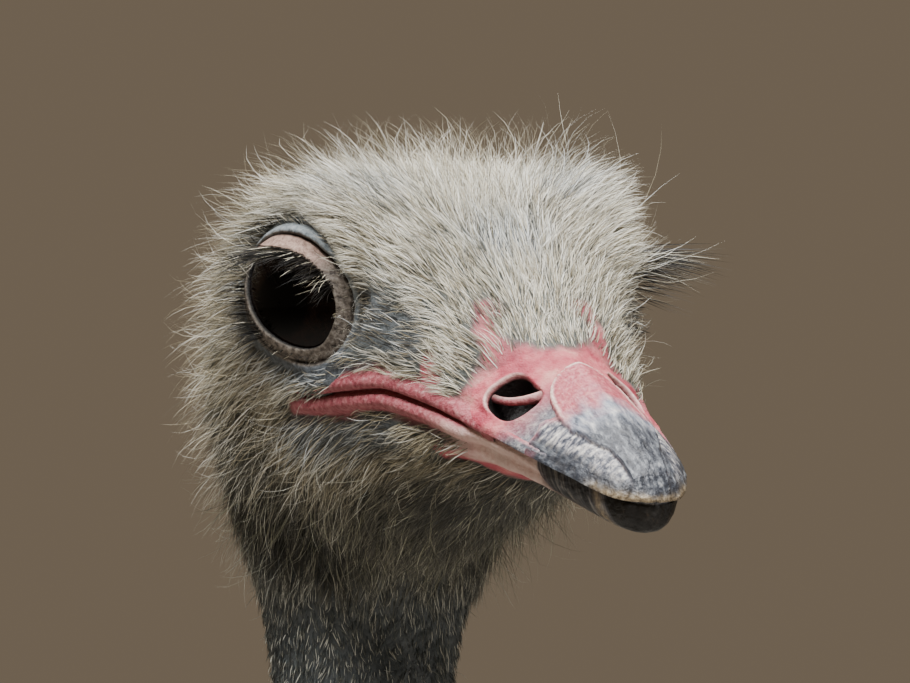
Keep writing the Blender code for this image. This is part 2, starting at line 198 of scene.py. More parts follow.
def run_along(line):
    """How far along a line each of its points is."""
    return np.concatenate([[0], np.cumsum(np.linalg.norm(np.diff(line, axis=0), axis=-1))])


def between(rows, at):
    """Rows at the station numbers at, on a smooth curve through the rows."""
    rows = np.asarray(rows, float)
    first = np.clip(at.astype(int), 0, len(rows) - 2)
    s = (at - first)[:, None]
    near = [rows[np.clip(first + k, 0, len(rows) - 1)] for k in (-1, 0, 1, 2)]
    return (
        near[0] * (-0.5 * s + s * s - 0.5 * s**3)
        + near[1] * (1.0 - 2.5 * s * s + 1.5 * s**3)
        + near[2] * (0.5 * s + 2.0 * s * s - 1.5 * s**3)
        + near[3] * (-0.5 * s * s + 0.5 * s**3)
    )


def scramble(cells, seed):
    """A number from 0 to 1 for each cell of a lattice, the same on every run."""
    a, b, c = (cells[..., k].astype(np.uint64) for k in range(3))
    mixed = a * np.uint64(73856093) ^ b * np.uint64(19349663) ^ c * np.uint64(83492791)
    mixed = (mixed + np.uint64(seed * 2654435761 + 12345)) & np.uint64(0xFFFFFFFF)
    for shift in (16, 13):
        mixed = ((mixed ^ (mixed >> np.uint64(shift))) * np.uint64(2246822519)) & np.uint64(0xFFFFFFFF)
    return (mixed >> np.uint64(8)).astype(float) / float(1 << 24)


def cloud(points, size, seed=0, stretch=1.0):
    """Smooth noise from -1 to 1 whose blotches are about size across, narrower by a stretch over 1."""
    place = np.asarray(points) * stretch / size + 4096.0
    cell = np.floor(place).astype(np.int64)
    t = place - cell
    t = t * t * (3 - 2 * t)
    total = np.zeros(place.shape[:-1])
    for corner in range(8):
        step = np.array([corner & 1, (corner >> 1) & 1, (corner >> 2) & 1])
        weight = np.prod(np.where(step == 1, t, 1 - t), axis=-1)
        total += weight * scramble(cell + step, seed)
    return total * 2 - 1


def segment_spot(place, start, end, radius):
    """1 on a line between two points, falling to 0 over the radius."""
    start, end = np.array(start, float), np.array(end, float)
    along = np.clip(((place - start) @ (end - start)) / ((end - start) @ (end - start)), 0, 1)
    off = np.linalg.norm(place - start - along[..., None] * (end - start), axis=-1)
    return smooth(1.35, 0.75, off / radius)


def soften_least(one, two, blend):
    """The lesser of two numbers, with a rounded turn where they cross."""
    h = np.clip(0.5 + 0.5 * (two - one) / blend, 0, 1)
    return two * (1 - h) + one * h - blend * h * (1 - h)


def around(count):
    """Even turns once round, in radians."""
    return np.linspace(0, 2 * math.pi, count, endpoint=False)


# ---------------- meshes


def add_mesh(name, points, *faces):
    """A smooth mesh object from arrays of points and of faces, one array for each number of corners."""
    mesh = bpy.data.meshes.new(name)
    corners = np.concatenate([part.ravel() for part in faces]).astype(np.int32)
    counts = np.concatenate([np.full(len(part), part.shape[1]) for part in faces])
    starts = np.concatenate([[0], np.cumsum(counts)[:-1]]).astype(np.int32)
    mesh.vertices.add(len(points))
    mesh.vertices.foreach_set("co", np.asarray(points, np.float32).ravel())
    mesh.loops.add(len(corners))
    mesh.loops.foreach_set("vertex_index", corners)
    mesh.polygons.add(len(counts))
    mesh.polygons.foreach_set("loop_start", starts)
    mesh.update(calc_edges=True)
    mesh.shade_smooth()
    made = bpy.data.objects.new(name, mesh)
    bpy.context.scene.collection.objects.link(made)
    return made


def add_masks(thing, masks):
    """Stores one number for each point under each name, for the materials to read."""
    for name, values in masks.items():
        layer = thing.data.attributes.new(name, "FLOAT", "POINT")
        layer.data.foreach_set("value", np.asarray(values, np.float32))


def add_surface(name, surface, material, slot, *replaced):
    """Makes a surface one piece, with its masks, its material and the solids it stands for."""
    piece = add_mesh(name, surface["points"], surface["quads"])
    add_masks(piece, surface["masks"])
    place_piece(piece, material, slot, *replaced)


def add_unwrap(thing, places):
    """Writes the UV map named OFBake from one place for each point."""
    corners = np.empty(len(thing.data.loops), np.int32)
    thing.data.loops.foreach_get("vertex_index", corners)
    layer = thing.data.uv_layers.new(name="OFBake")
    layer.uv.foreach_set("vector", places[corners].astype(np.float32).ravel())


def grid_faces(rows, columns, closed=True):
    """Quads of a grid of points, whose last column joins the first when it is closed."""
    across = np.arange(columns if closed else columns - 1)
    one = np.arange(rows - 1)[:, None] * columns
    a = one + across
    b = one + (across + 1) % columns
    return together(a, b, b + columns, a + columns).reshape(-1, 4)


def grid_normals(grid, closed=True):
    """The outward normal at each point of a grid."""
    sides = np.roll(grid, -1, axis=1) - np.roll(grid, 1, axis=1) if closed else np.gradient(grid, axis=1)
    return unit(np.cross(sides, np.gradient(grid, axis=0)))


def face_normals(points, quads):
    """A vector along the normal of each face, as long as twice the face's area."""
    a, b, c, d = np.moveaxis(points[quads], 1, 0)
    return np.cross(c - a, d - b)


def patch(points, masks, unwrap, flipped=False, quads=None):
    """A surface: a grid's points, its faces, its masks and each point's place on the unwrap."""
    quads = grid_faces(*points.shape[:2]) if quads is None else quads
    return {
        "points": points.reshape(-1, 3),
        "quads": quads[:, ::-1] if flipped else quads,
        "masks": {name: np.broadcast_to(values, points.shape[:2]).ravel() for name, values in masks.items()},
        "unwrap": unwrap,
    }


def surface_through(grid, masks, unwrap, closed=True):
    """A surface through the rings of a grid, turned to face out."""
    rows, columns = grid.shape[:2]
    quads = grid_faces(rows, columns, closed)
    away = grid.reshape(-1, 3)[quads].mean(axis=1)
    away -= np.repeat(grid.mean(axis=1)[:-1], len(quads) // (rows - 1), axis=0)
    flipped = (face_normals(grid.reshape(-1, 3), quads) * away).sum() < 0
    return patch(grid, masks, unwrap, flipped, quads)


def join(parts):
    """Several surfaces as one. A mask that a part doesn't have is 0 there."""
    starts = np.cumsum([0, *(len(part["points"]) for part in parts)])
    names = sorted(set().union(*(part["masks"] for part in parts)))

    def gathered(name):
        return np.concatenate([part["masks"].get(name, np.zeros(len(part["points"]))) for part in parts])

    return {
        "points": np.concatenate([part["points"] for part in parts]),
        "quads": np.concatenate([part["quads"] + start for part, start in zip(parts, starts)]),
        "masks": {name: gathered(name) for name in names},
        "unwrap": np.concatenate([part["unwrap"] for part in parts]),
    }


def head_place(points):
    """Points in mm from the middle of the line between the eyes: forward, outward, up."""
    x, y, z = np.moveaxis(points, -1, 0)
    return together(EYE_Y - y, np.abs(x), z - EYE_Z) / MM


# ---------------- the head and neck


def head_rows():
    """Every section from the bill's tip to the foot of the neck in one form, in metres: y, z, lean,
    half width above and below, reach above and below, how square above and below, and the turn of
    the mouth line."""
    rows = []
    for forward, top, mouth, bottom, half, low, square in BILL:
        rows.append((-forward, mouth, 0, half, low, top - mouth, mouth - bottom, square, 2.3, math.pi / 2))
    for forward, top, mouth, bottom, half, level, square in FACE:
        turn = math.acos((mouth - level) / (level - bottom))
        rows.append((-forward, level, 0, half, half, top - level, level - bottom, square, 2, turn))
    for degrees, inner, outer, half, share, square in NAPE:
        lean, turn = math.radians(degrees), math.radians(108.4 - 18.4 * degrees / 90)
        wide = inner + (outer - inner) * share
        y, z = FAN_BACK + math.sin(lean) * wide, math.cos(lean) * wide - FAN_DOWN
        rows.append((y, z, lean, half, half, outer - wide, wide - inner, square, 2, turn))
    line = [(NECK_BACK - forward, height - EYE_Z / MM) for forward, height, _ in NECK]
    for number, (_, _, r) in enumerate(NECK):
        (y, z), (next_y, next_z) = line[max(number - 1, 0)], line[min(number + 1, len(line) - 1)]
        lean = math.atan2(z - next_z, next_y - y)
        rows.append((*line[number], lean, r, r, r, r, 2, 2, math.pi / 2))
    rows = np.array(rows, float)
    rows[:, [0, 1, 3, 4, 5, 6]] *= MM
    rows[:, :2] += EYE_Y, EYE_Z
    return rows


def spread_columns(length, count):
    """Distances from the mouth line: close together beside it, then even."""
    near = np.array(NEAR_MOUTH) * MM * min(1.0, length / (2.4 * NEAR_MOUTH[-1] * MM))
    return np.concatenate([near, np.linspace(near[-1], length, count - len(near) + 2)[1:]])


def half_section(row):
    """The half outline of one section, from the top to the bottom: across, rise and distance from
    the mouth line."""
    _, _, _, half, low_half, above, below, square, low_square, mouth_turn = row
    turn = np.linspace(0, math.pi, 721)
    c, s = np.cos(turn), np.sin(turn)
    upper = turn <= math.pi / 2
    power = np.where(upper, 2 / square, 2 / low_square)
    wide = half + (low_half - half) * smooth(mouth_turn - 0.05, mouth_turn + 0.05, turn)
    across = np.abs(s) ** power * wide
    rise = np.where(upper, above, -below) * np.abs(c) ** power
    arc = run_along(together(across, rise))
    mouth = np.interp(mouth_turn, turn, arc)
    over = mouth - spread_columns(mouth, ABOVE_MOUTH)[::-1]
    under = mouth + spread_columns(arc[-1] - mouth, BELOW_MOUTH)[1:]
    places = np.concatenate([over, under])
    return np.interp(places, arc, across), np.interp(places, arc, rise), mouth - places


def both_sides(half):
    """A half ring of numbers and its mirror image, without the points that they share."""
    return np.concatenate([half, half[-2:0:-1]])


@functools.cache
def head_grid():
    """The bare shape of the head and neck: a grid of points, and each point's distance from the
    mouth line in mm."""
    rows = head_rows()
    steps = [np.arange(count) / count + row for row, count in enumerate(RINGS_PER_ROW)]
    points, away = [], []
    for row in between(rows, np.concatenate([*steps, [len(rows) - 1.0]])):
        across, rise, from_mouth = half_section(row)
        y, z, lean = row[:3]
        ring = both_sides(together(across, y + math.sin(lean) * rise, z + math.cos(lean) * rise))
        ring[len(across) :, 0] *= -1
        points.append(ring)
        away.append(both_sides(from_mouth))
    return np.array(points), np.array(away) / MM


def eye_hollow(place):
    """How far out the skin may reach beside the head, in mm, in the hollow that the eye lies in."""
    deep, long, high, out, turn = 14.5, 30.0, 18.0, 52.0, math.radians(25)
    c, s = math.cos(turn), math.sin(turn)
    f, _, u = np.moveaxis(place, -1, 0)
    a = (s / long) ** 2 + (c / deep) ** 2
    b = 2 * f * c * s * (1 / deep**2 - 1 / long**2)
    k = (f * c / long) ** 2 + (f * s / deep) ** 2 + (u / high) ** 2 - 1
    inside = b * b - 4 * a * k
    reach = out + (-b - np.sqrt(np.maximum(inside, 0))) / (2 * a)
    return np.where(inside > 0, reach, 1e3)


def mouth_relief(place, away):
    """The closed mouth: a deep line, a rounded roll above and below it, and the ridge of the jaw."""
    f = place[..., 0]
    there = smooth(MOUTH_CORNER - 4, MOUTH_CORNER + 3, f) * (1 - 0.75 * smooth(96, 119, f))
    gape = 0.35 + 0.40 * hump(36, 22, f)
    line = -2.6 * np.exp(-((np.abs(away) / gape) ** 2.5))
    thick = 0.55 + 0.45 * hump(12, 30, f)
    upper = 1.25 * thick * hump(2.4, 1.7, away) - 0.55 * hump(5.6, 0.9, away) * (1 - smooth(60, 80, f))
    lower = (1.15 * hump(-2.6, 1.7, away) - 0.85 * hump(-5.9, 1.2, away)) * smooth(94, 82, f)
    ramus = 0.9 * hump(-9.5, 2.6, away) * smooth(15, 40, f)
    return there * (line + upper + lower + ramus)


def face_relief(place):
    """Brow, cheek, ear and the folds of the throat, in mm."""
    brow = 2.2 * spot(place, (6, 38, 25), (15, 9, 7))
    ear = -4.0 * spot(place, (-31, 42, -32), (7, 9, 6))
    cheek = 1.6 * spot(place, (-14, 44, -38), (12, 12, 8))
    groove = -1.3 * spot(place, (56, 20, -16), (10, 6, 4.5))
    return brow + ear + cheek + groove


def head_masks(place, away):
    """Where each colour of skin lies on the head and neck, from 0 to 1. Places and away, the distance
    over the mouth line, are in mm."""
    f, l, u = np.moveaxis(place, -1, 0)
    rough = cloud(place, 6.0, 3) + 0.5 * cloud(place, 2.6, 4)
    bill = smooth(54, 59.5, f + 2.2 * rough - 7.0 * hump(0, 8, l) * smooth(-22, -12, u))
    arm = 0.8 * segment_spot(place, (59, 17, -13), (49, 15.0, -0.5), 4.0 + 2.2 * rough)
    stripe = 0.8 * segment_spot(place, (47, 28, -24), (44, 29.0, -15), 2.4 + 1.2 * rough)
    jaw = segment_spot(place, (62, 24, -40), (45, 26.5, -39.5), 4.0 + rough)
    roll = smooth(MOUTH_CORNER - 4, MOUTH_CORNER + 2, f) * smooth(6.4, 4.6, np.abs(away) + 0.7 * rough)
    pink = np.clip(np.maximum.reduce([bill, arm, stripe, jaw, roll]), 0, 1)
    low_lip = smooth(-0.6, -1.6, away) * smooth(-12, -9, away) * smooth(40, 66, f + 4 * rough)
    neck = smooth(-62, -84, u + 4 * rough + 0.30 * (f + 30))
    throat = smooth(-36, -50, u + 3 * rough) * (1 - neck)
    blue = [spot(place, (12, 37, -17), (15, 14, 8)), 0.8 * spot(place, (24, 36, -4), (9, 12, 9))]
    blue += [0.85 * spot(place, centre, (9, 8, 9)) for centre in ((-4, 29, 29), (31, 3, 14), (8, 22, 27))]
    blue.append(0.8 * segment_spot(place, (28, 34, -35), (-10, 43, -34), 6.5))
    blue.append(0.7 * segment_spot(place, (21, 38, -4), (38, 33, -9), 6.0))
    beside = np.where(away > 0, 2.2 * np.maximum(-u - 33, 0), -10)
    return {
        "pink": pink,
        "red": 0.85 * roll * smooth(88, 62, f) * (1 - low_lip) + 0.15 * arm,
        # pale: the lower lip's roll, partly its own whitish tone and partly painted light that brightens it
        # in the upper bill's shade
        "pale": 0.75 * low_lip,
        # the throat under the jaw: olive skin, darkened almost to black by painted shade beneath the jaw
        "olive": np.clip(throat, 0, 1) * (1 - pink),
        "neck": neck,
        "blue": np.clip(np.maximum.reduce(blue), 0, 1) * (1 - pink),
        "dark": 0.82 * smooth(-0.3, -1.2, away) * smooth(84, 93, f + 3 * rough),
        "horn": smooth(70, 86, f + 3 * rough + beside) * bill,
        # the ear opening: painted shade in its hole
        "ear": spot(place, (-31, 42, -32), (6, 9, 5)),
    }


def head_surface():
    """The head and neck with their relief, before the lids and nostrils are set in."""
    grid, away = head_grid()
    place = head_place(grid)
    hollow = soften_least(place[..., 1], eye_hollow(place), 3.0)
    across = np.where(place[..., 1] > 5, hollow, place[..., 1]) * MM
    grid = np.concatenate([(np.sign(grid[..., 0]) * across)[..., None], grid[..., 1:]], axis=-1)
    relief = mouth_relief(place, away) + face_relief(place) + 0.10 * cloud(place, 1.6, 8)
    relief -= 0.5 * smooth(70, 76, place[..., 0])
    girth = np.linalg.norm(grid - grid.mean(axis=1, keepdims=True), axis=-1)
    small = np.minimum(1.0, girth / (6 * MM))
    return grid + grid_normals(grid) * (relief * small * MM)[..., None], away


def from_frame(frame, x, y, out=0.0):
    """Points from their places in a frame, in mm: along its two directions and outward."""
    centre, along, up, axis = frame
    return centre + (x[..., None] * along + y[..., None] * up + (out + 0 * x)[..., None] * axis) * MM


def to_frame(frame, points):
    """The places of points in a frame, in mm: along its two directions and outward."""
    centre, *ways = frame
    return ((points - centre) @ way / MM for way in ways)


def eye_frame(side):
    """An eye's centre and its directions: forward along the lids, up, and out along its axis."""
    forward, out = EYE_AXIS
    centre = np.array([side * BALL.x, BALL.y, BALL.z])
    return centre, np.array([-side * forward, -out, 0.0]), UP, np.array([side * out, -forward, 0.0])


LID_TILT = math.radians(35)  # the lids' long axis falls forward by this


def lid_edge(turn):
    """Distance of the lids' edge from the eye's axis, in mm, at a turn from the front upward."""
    tilted = turn + LID_TILT
    c, s = np.cos(tilted), np.sin(tilted)
    long = np.where(c > 0, 14.8, 18.6)
    high = np.where(s > 0, 12.5, 8.6)
    power = np.where(c > 0, 2.35, 1.6)
    return (np.abs(c / long) ** power + np.abs(s / high) ** power) ** (-1 / power)


# Rings of an eye's skin by how far they are out from the lids' edge, in mm.
EYE_STEPS = [
    -0.9, -0.25, 0.0, 0.12, 0.3, 0.55, 0.9, 1.3, 1.7, 2.1, 2.5, 2.9, 3.2, 3.45, 3.65, 3.8, 3.95, 4.15, 4.4,
    4.8, 5.3, 5.8, 6.3, 6.7, 6.95, 7.15, 7.35, 7.6, 8.0, 8.6, 9.3, 10.2, 11.2, 12.4, 13.6,
]
EYE_COLUMNS = 128


def skin_under(frame, x, y, far, bare):
    """How far out the bare head lies at places in a frame, in mm, and the unwrap of the faces there."""
    centre, _, _, out = frame
    hits, faces = [], []
    for origin in (from_frame(frame, x, y) + out * far * MM).reshape(-1, 3):
        hit, _, face, _ = bare["tree"].ray_cast(Vector(origin), Vector(-out))
        hits.append(hit if hit else Vector(origin))
        faces.append(face or 0)
    return ((np.array(hits) - centre) @ out).reshape(x.shape) / MM, bare["unwrap"][faces]


def masks_at(points):
    """The colours of the skin at points that are set into the head away from its mouth."""
    place = head_place(points)
    return head_masks(place, np.full(place.shape[:-1], FAR_FROM_MOUTH))


def lid_folds(steps, turn, above, wobble):
    """The rim, bands, grooves and pleats of the lids, in mm, and where painted shade darkens their creases.
    """
    first, second = 3.9 + 0.5 * above + 0.3 * wobble, 7.1 + 0.5 * above + 0.4 * wobble
    rim = 0.85 * smooth(0.0, 0.5, steps) * (1 - smooth(5.0, 12.0, steps)) + 0.12
    upper = 1.15 * hump(5.9, 1.2, steps) - 1.15 * hump(first, 0.38, steps) - 0.95 * hump(second, 0.42, steps)
    lower = 0.45 * hump(1.9, 1.5, steps) + 0.35 * hump(5.6, 1.1, steps)
    lower = lower - 0.75 * hump(4.15 + 0.3 * wobble, 0.45, steps)
    pleats = 0.16 * np.sin(turn * 47 + 2.2 * wobble + steps * 0.5) * hump(2.4, 2.2, steps) * (1 - 0.6 * above)
    pleats = pleats + 0.14 * np.sin(turn * 29 + 3 * wobble - steps) * hump(5.4, 1.6, steps)
    relief = above * upper + (1 - above) * lower + pleats
    crease_shade = above * np.maximum(hump(first, 0.42, steps), 0.8 * hump(second, 0.4, steps))
    crease_shade = crease_shade + (1 - above) * 0.75 * hump(4.2 + 0.3 * wobble, 0.4, steps)
    return rim + relief * (1 - smooth(9.5, 12.0, steps)), crease_shade


def eye_patch(side, bare):
    """The lids and folds round one eye, from behind the lids' edge out to the skin of the head."""
    frame = eye_frame(side)
    steps = np.array(EYE_STEPS)[:, None]
    turn = around(EYE_COLUMNS)[None, :]
    edge = lid_edge(turn)
    x, y = (edge + steps) * np.cos(turn), (edge + steps) * np.sin(turn)
    skin, unwrap = skin_under(frame, x, y, 60, bare)
    radius = BALL_RADIUS / MM
    r = np.hypot(x, y)
    edge_height = np.sqrt(radius**2 - edge**2)
    slope = np.minimum(edge / edge_height, 0.9)
    on_ball = np.sqrt(np.maximum(radius**2 - r**2, 1))
    over_ball = np.where(steps <= 0, on_ball, edge_height - slope * steps)
    above = smooth(-0.15, 0.55, np.sin(turn + math.radians(22)))
    inside = steps < 0
    weight = smooth(1.0, 8.5 + 2.0 * above, steps)
    height = np.where(inside, over_ball - 1.1, over_ball * (1 - weight) + skin * weight)
    round_eye = together(np.cos(turn) * 3, np.sin(turn) * 3, side)
    folds, crease_shade = lid_folds(steps, turn, above, cloud(round_eye, 0.6, 5))
    height = height + np.where(inside, 0, folds)
    # Behind the lids the skin stays clear of the ball, and its last ring goes under the head's skin.
    clear = radius + 0.5
    cover = np.where(r < clear, np.sqrt(np.maximum(clear**2 - r**2, 0)), 3 * (clear - r))
    height = np.where(steps > 1, -soften_least(-height, -cover, 0.8), height)
    height = np.where(steps > 13, skin - 0.35, height)
    points = from_frame(frame, x, y, height)
    masks = masks_at(points)
    degrees = np.degrees(turn)
    beige = smooth(25, 60, degrees) * smooth(158, 140, degrees)
    beige = beige * smooth(0.4, 1.2, steps) * smooth(4.6, 4.1, steps)
    round_lids = 0.75 * (1 - smooth(6.5, 12.0, steps)) * smooth(4.6, 5.6, steps)
    bare_above = np.where(steps < 7.9, 1.0, 1 - smooth(7.9, 9.6, steps))
    masks |= {
        # painted shade in the lids' creases, in a thin line along their edge and on the skin tucked behind it
        "dark": np.clip(np.maximum(crease_shade, 1.0 * hump(0, 0.28, steps) + inside), 0, 1),
        "beige": beige,
        "lid": (1 - beige) * smooth(5.6, 4.6, steps) * smooth(-0.1, 0.5, steps),
        "blue": np.clip(masks["blue"] + round_lids, 0, 1),
        "fold": 0.9 * above * smooth(4.1, 4.9, steps) * smooth(9.4, 7.6, steps),
        "bare": np.maximum(bare_above * above, (1 - above) * (1 - smooth(5.0, 8.5, steps))) + (steps > 13),
    }
    return patch(points, masks, unwrap, side < 0)


NOSTRIL = (69.0, 14.6, -25.2)   # mm from the middle of the line between the eyes
# Rings of a nostril from the bottom of its tube out to the bill, in mm: out from the rim's edge,
# above the bill's own surface.
NOSTRIL_RINGS = [
    (-5.6, -9.6), (-2.6, -9.0), (-1.7, -7.0), (-1.1, -5.0), (-0.7, -3.4), (-0.4, -2.2), (-0.2, -1.2),
    (-0.05, -0.5), (0.1, -0.05), (0.3, 0.25), (0.6, 0.40), (1.0, 0.38), (1.5, 0.25), (2.1, 0.16), (2.9, 0.12),
    (3.8, 0.10), (4.6, 0.05), (5.4, -0.3),
]
# The fold that crosses a nostril, in mm: forward, up and out from its middle, radius.
NOSTRIL_FOLD = [
    (-9.2, -1.6, -2.6, 1.2), (-5.5, -1.5, -2.0, 1.0), (-1.5, -0.6, -1.7, 1.05), (2.0, 1.6, -1.7, 1.2),
    (4.6, 4.4, -2.0, 1.5), (6.0, 7.6, -2.8, 2.0),
]
FOLD_RINGS, FOLD_COLUMNS = 26, 14
NOSTRIL_COLUMNS = 84


def nostril_frame(side, bare):
    """The middle of a nostril on the bill, and its directions: forward, up and out."""
    forward, out, up = NOSTRIL
    start = Vector((side * out * MM, EYE_Y - forward * MM, EYE_Z + up * MM))
    place, normal, _, _ = bare["tree"].find_nearest(start)
    normal = np.array(normal) * (1 if normal[0] * side >= 0 else -1)
    ahead = unit(np.array([0, -1, 0]) - normal * -normal[1])
    return np.array(place), ahead, np.cross(normal, ahead) * -side, normal


def nostril_edge(turn):
    """Distance of the nostril's rim from its middle, in mm, at a turn from the front upward."""
    tilted = turn + math.radians(10)
    c, s = np.cos(tilted), np.sin(tilted)
    round_off = (np.abs(c / 8.1) ** 2.8 + np.abs(s / 6.6) ** 2.8) ** (-1 / 2.8)
    return round_off * (1 - 0.10 * hump(math.radians(78), 0.5, turn % (2 * math.pi)))


def nostril_patch(side, bare):
    """The rounded rim of a nostril and the tube inside it, darkened by painted shade."""
    frame = nostril_frame(side, bare)
    from_rim, height = np.array(NOSTRIL_RINGS).T[..., None]
    turn = around(NOSTRIL_COLUMNS)[None, :]
    r, edge = nostril_edge(turn) + from_rim, nostril_edge(turn) + np.maximum(from_rim, 0)
    skin, unwrap = skin_under(frame, edge * np.cos(turn), edge * np.sin(turn), 12, bare)
    points = from_frame(frame, r * np.cos(turn), r * np.sin(turn), skin + height)
    masks = masks_at(points)
    floor = smooth(0.55, 0.9, np.cos(turn + math.radians(68))) * smooth(-4.2, -3.0, height)
    masks |= {
        # painted shade inside the tube, weaker on its floor
        "dark": smooth(-0.3, -1.2, height) * (1 - 0.9 * floor),
        "red": np.clip(masks["red"] + hump(-0.8, 1.4, height) * (height < 0), 0, 1),
        "pink": 1.0,
        "pale": 0.7 * hump(0.35, 0.3, from_rim) * smooth(-0.2, -0.95, np.cos(turn)),
        "bare": 1.0,
    }
    _, ahead, rise, out = frame
    flipped = np.dot(np.cross(ahead, rise), out) > 0
    return patch(points, masks, unwrap, flipped)


def nostril_bar(side, bare):
    """The fold that crosses a nostril inside its rim."""
    line = between(NOSTRIL_FOLD, np.linspace(0, len(NOSTRIL_FOLD) - 1.001, FOLD_RINGS))
    line, thick = line[:, :3], line[:, 3:]
    tangent = unit(np.gradient(line, axis=0))
    across = unit(np.cross(tangent, UP))
    turn = around(FOLD_COLUMNS)[None, :, None]
    ring = np.cos(turn) * across[:, None] + np.sin(turn) * np.cross(tangent, across)[:, None]
    local = line[:, None] + ring * thick[:, None]
    points = from_frame(nostril_frame(side, bare), *np.moveaxis(local, -1, 0))
    # painted highlight: the fold is paler on its top and outer side, where the light falls, and red on the
    # rest
    pale = 0.38 * smooth(-0.2, 0.9, ring @ np.array([0, 0.8, 0.6]))
    # painted shade toward the fold's rear end, deep in the nostril
    dark = 0.6 * smooth(11, 3, np.arange(FOLD_RINGS))[:, None]
    masks = masks_at(points) | {"pink": 1.0, "pale": pale, "red": 0.8 * (1 - pale), "dark": dark, "bare": 1.0}
    unwrap = np.full((FOLD_RINGS * FOLD_COLUMNS, 2), 0.5)
    return patch(points, masks, unwrap)


@functools.cache
def head_skin():
    """The whole skin of the head and neck, with its lids and nostrils."""
    grid, away = head_surface()
    quads = grid_faces(*away.shape)
    across = np.linalg.norm(np.diff(grid, axis=1, append=grid[:, :1]), axis=-1)
    u = (np.cumsum(across, axis=1) - across) / across.sum(axis=1, keepdims=True)
    down = np.linalg.norm(np.diff(grid, axis=0), axis=-1).mean(axis=1)
    v = np.concatenate([[0], np.cumsum(down)]) / down.sum()
    unwrap = together(u, v[:, None]).reshape(-1, 2)
    tree = BVHTree.FromPolygons(grid.reshape(-1, 3).tolist(), quads.tolist())
    bare = {"tree": tree, "unwrap": unwrap[quads[:, 0]]}
    hidden = np.zeros(len(quads), bool)
    middle = grid.reshape(-1, 3)[quads].mean(axis=1)
    parts = []
    for side in SIDES.values():
        x, y, out = to_frame(eye_frame(side), middle)
        hidden |= (np.hypot(x, y) < lid_edge(np.arctan2(y, x)) + 11.0) & (out > 0)
        x, y, out = to_frame(nostril_frame(side, bare), middle)
        hidden |= (np.hypot(x, y) < nostril_edge(np.arctan2(y, x)) + 3.0) & (np.abs(out) < 8)
        parts += [made(side, bare) for made in (eye_patch, nostril_patch, nostril_bar)]
    masks = head_masks(head_place(grid), away)
    return join([patch(grid, masks, unwrap, quads=quads[~hidden]), *parts])


def eyeball(side):
    """An eyeball with its pupil, a little inside the lids."""
    centre, along, up, axis = eye_frame(side)
    turn = np.linspace(0.01, math.pi - 0.01, 49)[:, None, None]
    ring = np.cos(around(96))[None, :, None] * along + np.sin(around(96))[None, :, None] * up
    ball = centre + (np.cos(turn) * axis + np.sin(turn) * ring) * (BALL_RADIUS - 0.1 * MM)
    return tube(ball, {"pupil": smooth(0.40, 0.36, turn[..., 0])})


# ---------------- materials


def linear(colour):
    """An sRGB hex colour, or one already linear, as linear red, green, blue and alpha."""
    if not isinstance(colour, str):
        return (*colour[:3], 1.0)
    parts = [int(colour[k : k + 2], 16) / 255 for k in (1, 3, 5)]
    return (*(p / 12.92 if p <= 0.04045 else ((p + 0.055) / 1.055) ** 2.4 for p in parts), 1.0)


def add_node(tree, kind, settings, stops={}):
    """Adds a node. settings gives its properties and inputs by name or number, each a value, an sRGB
    hex colour or the socket that feeds it. stops are the places and colours of a colour ramp."""
    node = tree.nodes.new(kind)
    for name, value in settings.items():
        if isinstance(name, str) and name not in node.inputs:
            setattr(node, name, value)
        elif isinstance(value, bpy.types.NodeSocket):
            tree.links.new(value, node.inputs[name])
        else:
            node.inputs[name].default_value = linear(value) if isinstance(value, str) else value
    for number, (place, colour) in enumerate(stops.items()):
        band = node.color_ramp.elements
        stop = band[number] if number < 2 else band.new(place)
        stop.position = place
        stop.color = linear(colour)
    return node


def make_material(name, grains, layers, finish, relief={}):
    """A surface of colours laid over each other.

    grains: a name for each noise, with its size in mm, or one size for each axis.
    layers: the mask that shows each layer (the first covers all), what varies it and its stops.
    finish: inputs of the shader; a grain with a low and a high value varies the roughness.
    relief: how deep a grain is, in mm."""
    made = bpy.data.materials.new(name)
    made.use_nodes = True
    tree = made.node_tree
    tree.nodes.clear()
    place = add_node(tree, "ShaderNodeTexCoord", {}).outputs["Object"]
    fields = {}
    for grain, size in grains.items():
        scale = 1 / (np.broadcast_to(size, 3) * MM)
        moved = add_node(tree, "ShaderNodeMapping", {"Vector": place, "Scale": scale}).outputs["Vector"]
        look = {"Vector": moved, "Scale": 1.0, "Detail": 3.5, "Roughness": 0.58}
        fields[grain] = add_node(tree, "ShaderNodeTexNoise", look).outputs["Fac"]
    colour = None
    for shown, varied, stops in layers:
        for key in (shown, varied):
            if key and key not in fields:
                fields[key] = add_node(tree, "ShaderNodeAttribute", {"attribute_name": key}).outputs["Fac"]
        laid = add_node(tree, "ShaderNodeValToRGB", {"Fac": fields[varied]}, stops).outputs["Color"]
        if colour:
            laid = add_node(
                tree, "ShaderNodeMix", {"data_type": "RGBA", 0: fields[shown], 6: colour, 7: laid}
            ).outputs[2]
        colour = laid
    finish = dict(finish)
    if isinstance(finish["Roughness"], tuple):
        grain, low, high = finish["Roughness"]
        spread = {"Value": fields[grain], "From Min": 0.3, "From Max": 0.7, "To Min": low, "To Max": high}
        finish["Roughness"] = add_node(tree, "ShaderNodeMapRange", spread).outputs[0]
    for grain, depth in relief.items():
        bump = {"Height": fields[grain], "Distance": depth * MM, "Strength": 1.0}
        if "Normal" in finish:
            bump["Normal"] = finish["Normal"]
        finish["Normal"] = add_node(tree, "ShaderNodeBump", bump).outputs["Normal"]
    shader = add_node(tree, "ShaderNodeBsdfPrincipled", {"Base Color": colour, **finish})
    add_node(tree, "ShaderNodeOutputMaterial", {"Surface": shader.outputs["BSDF"]})
    return made


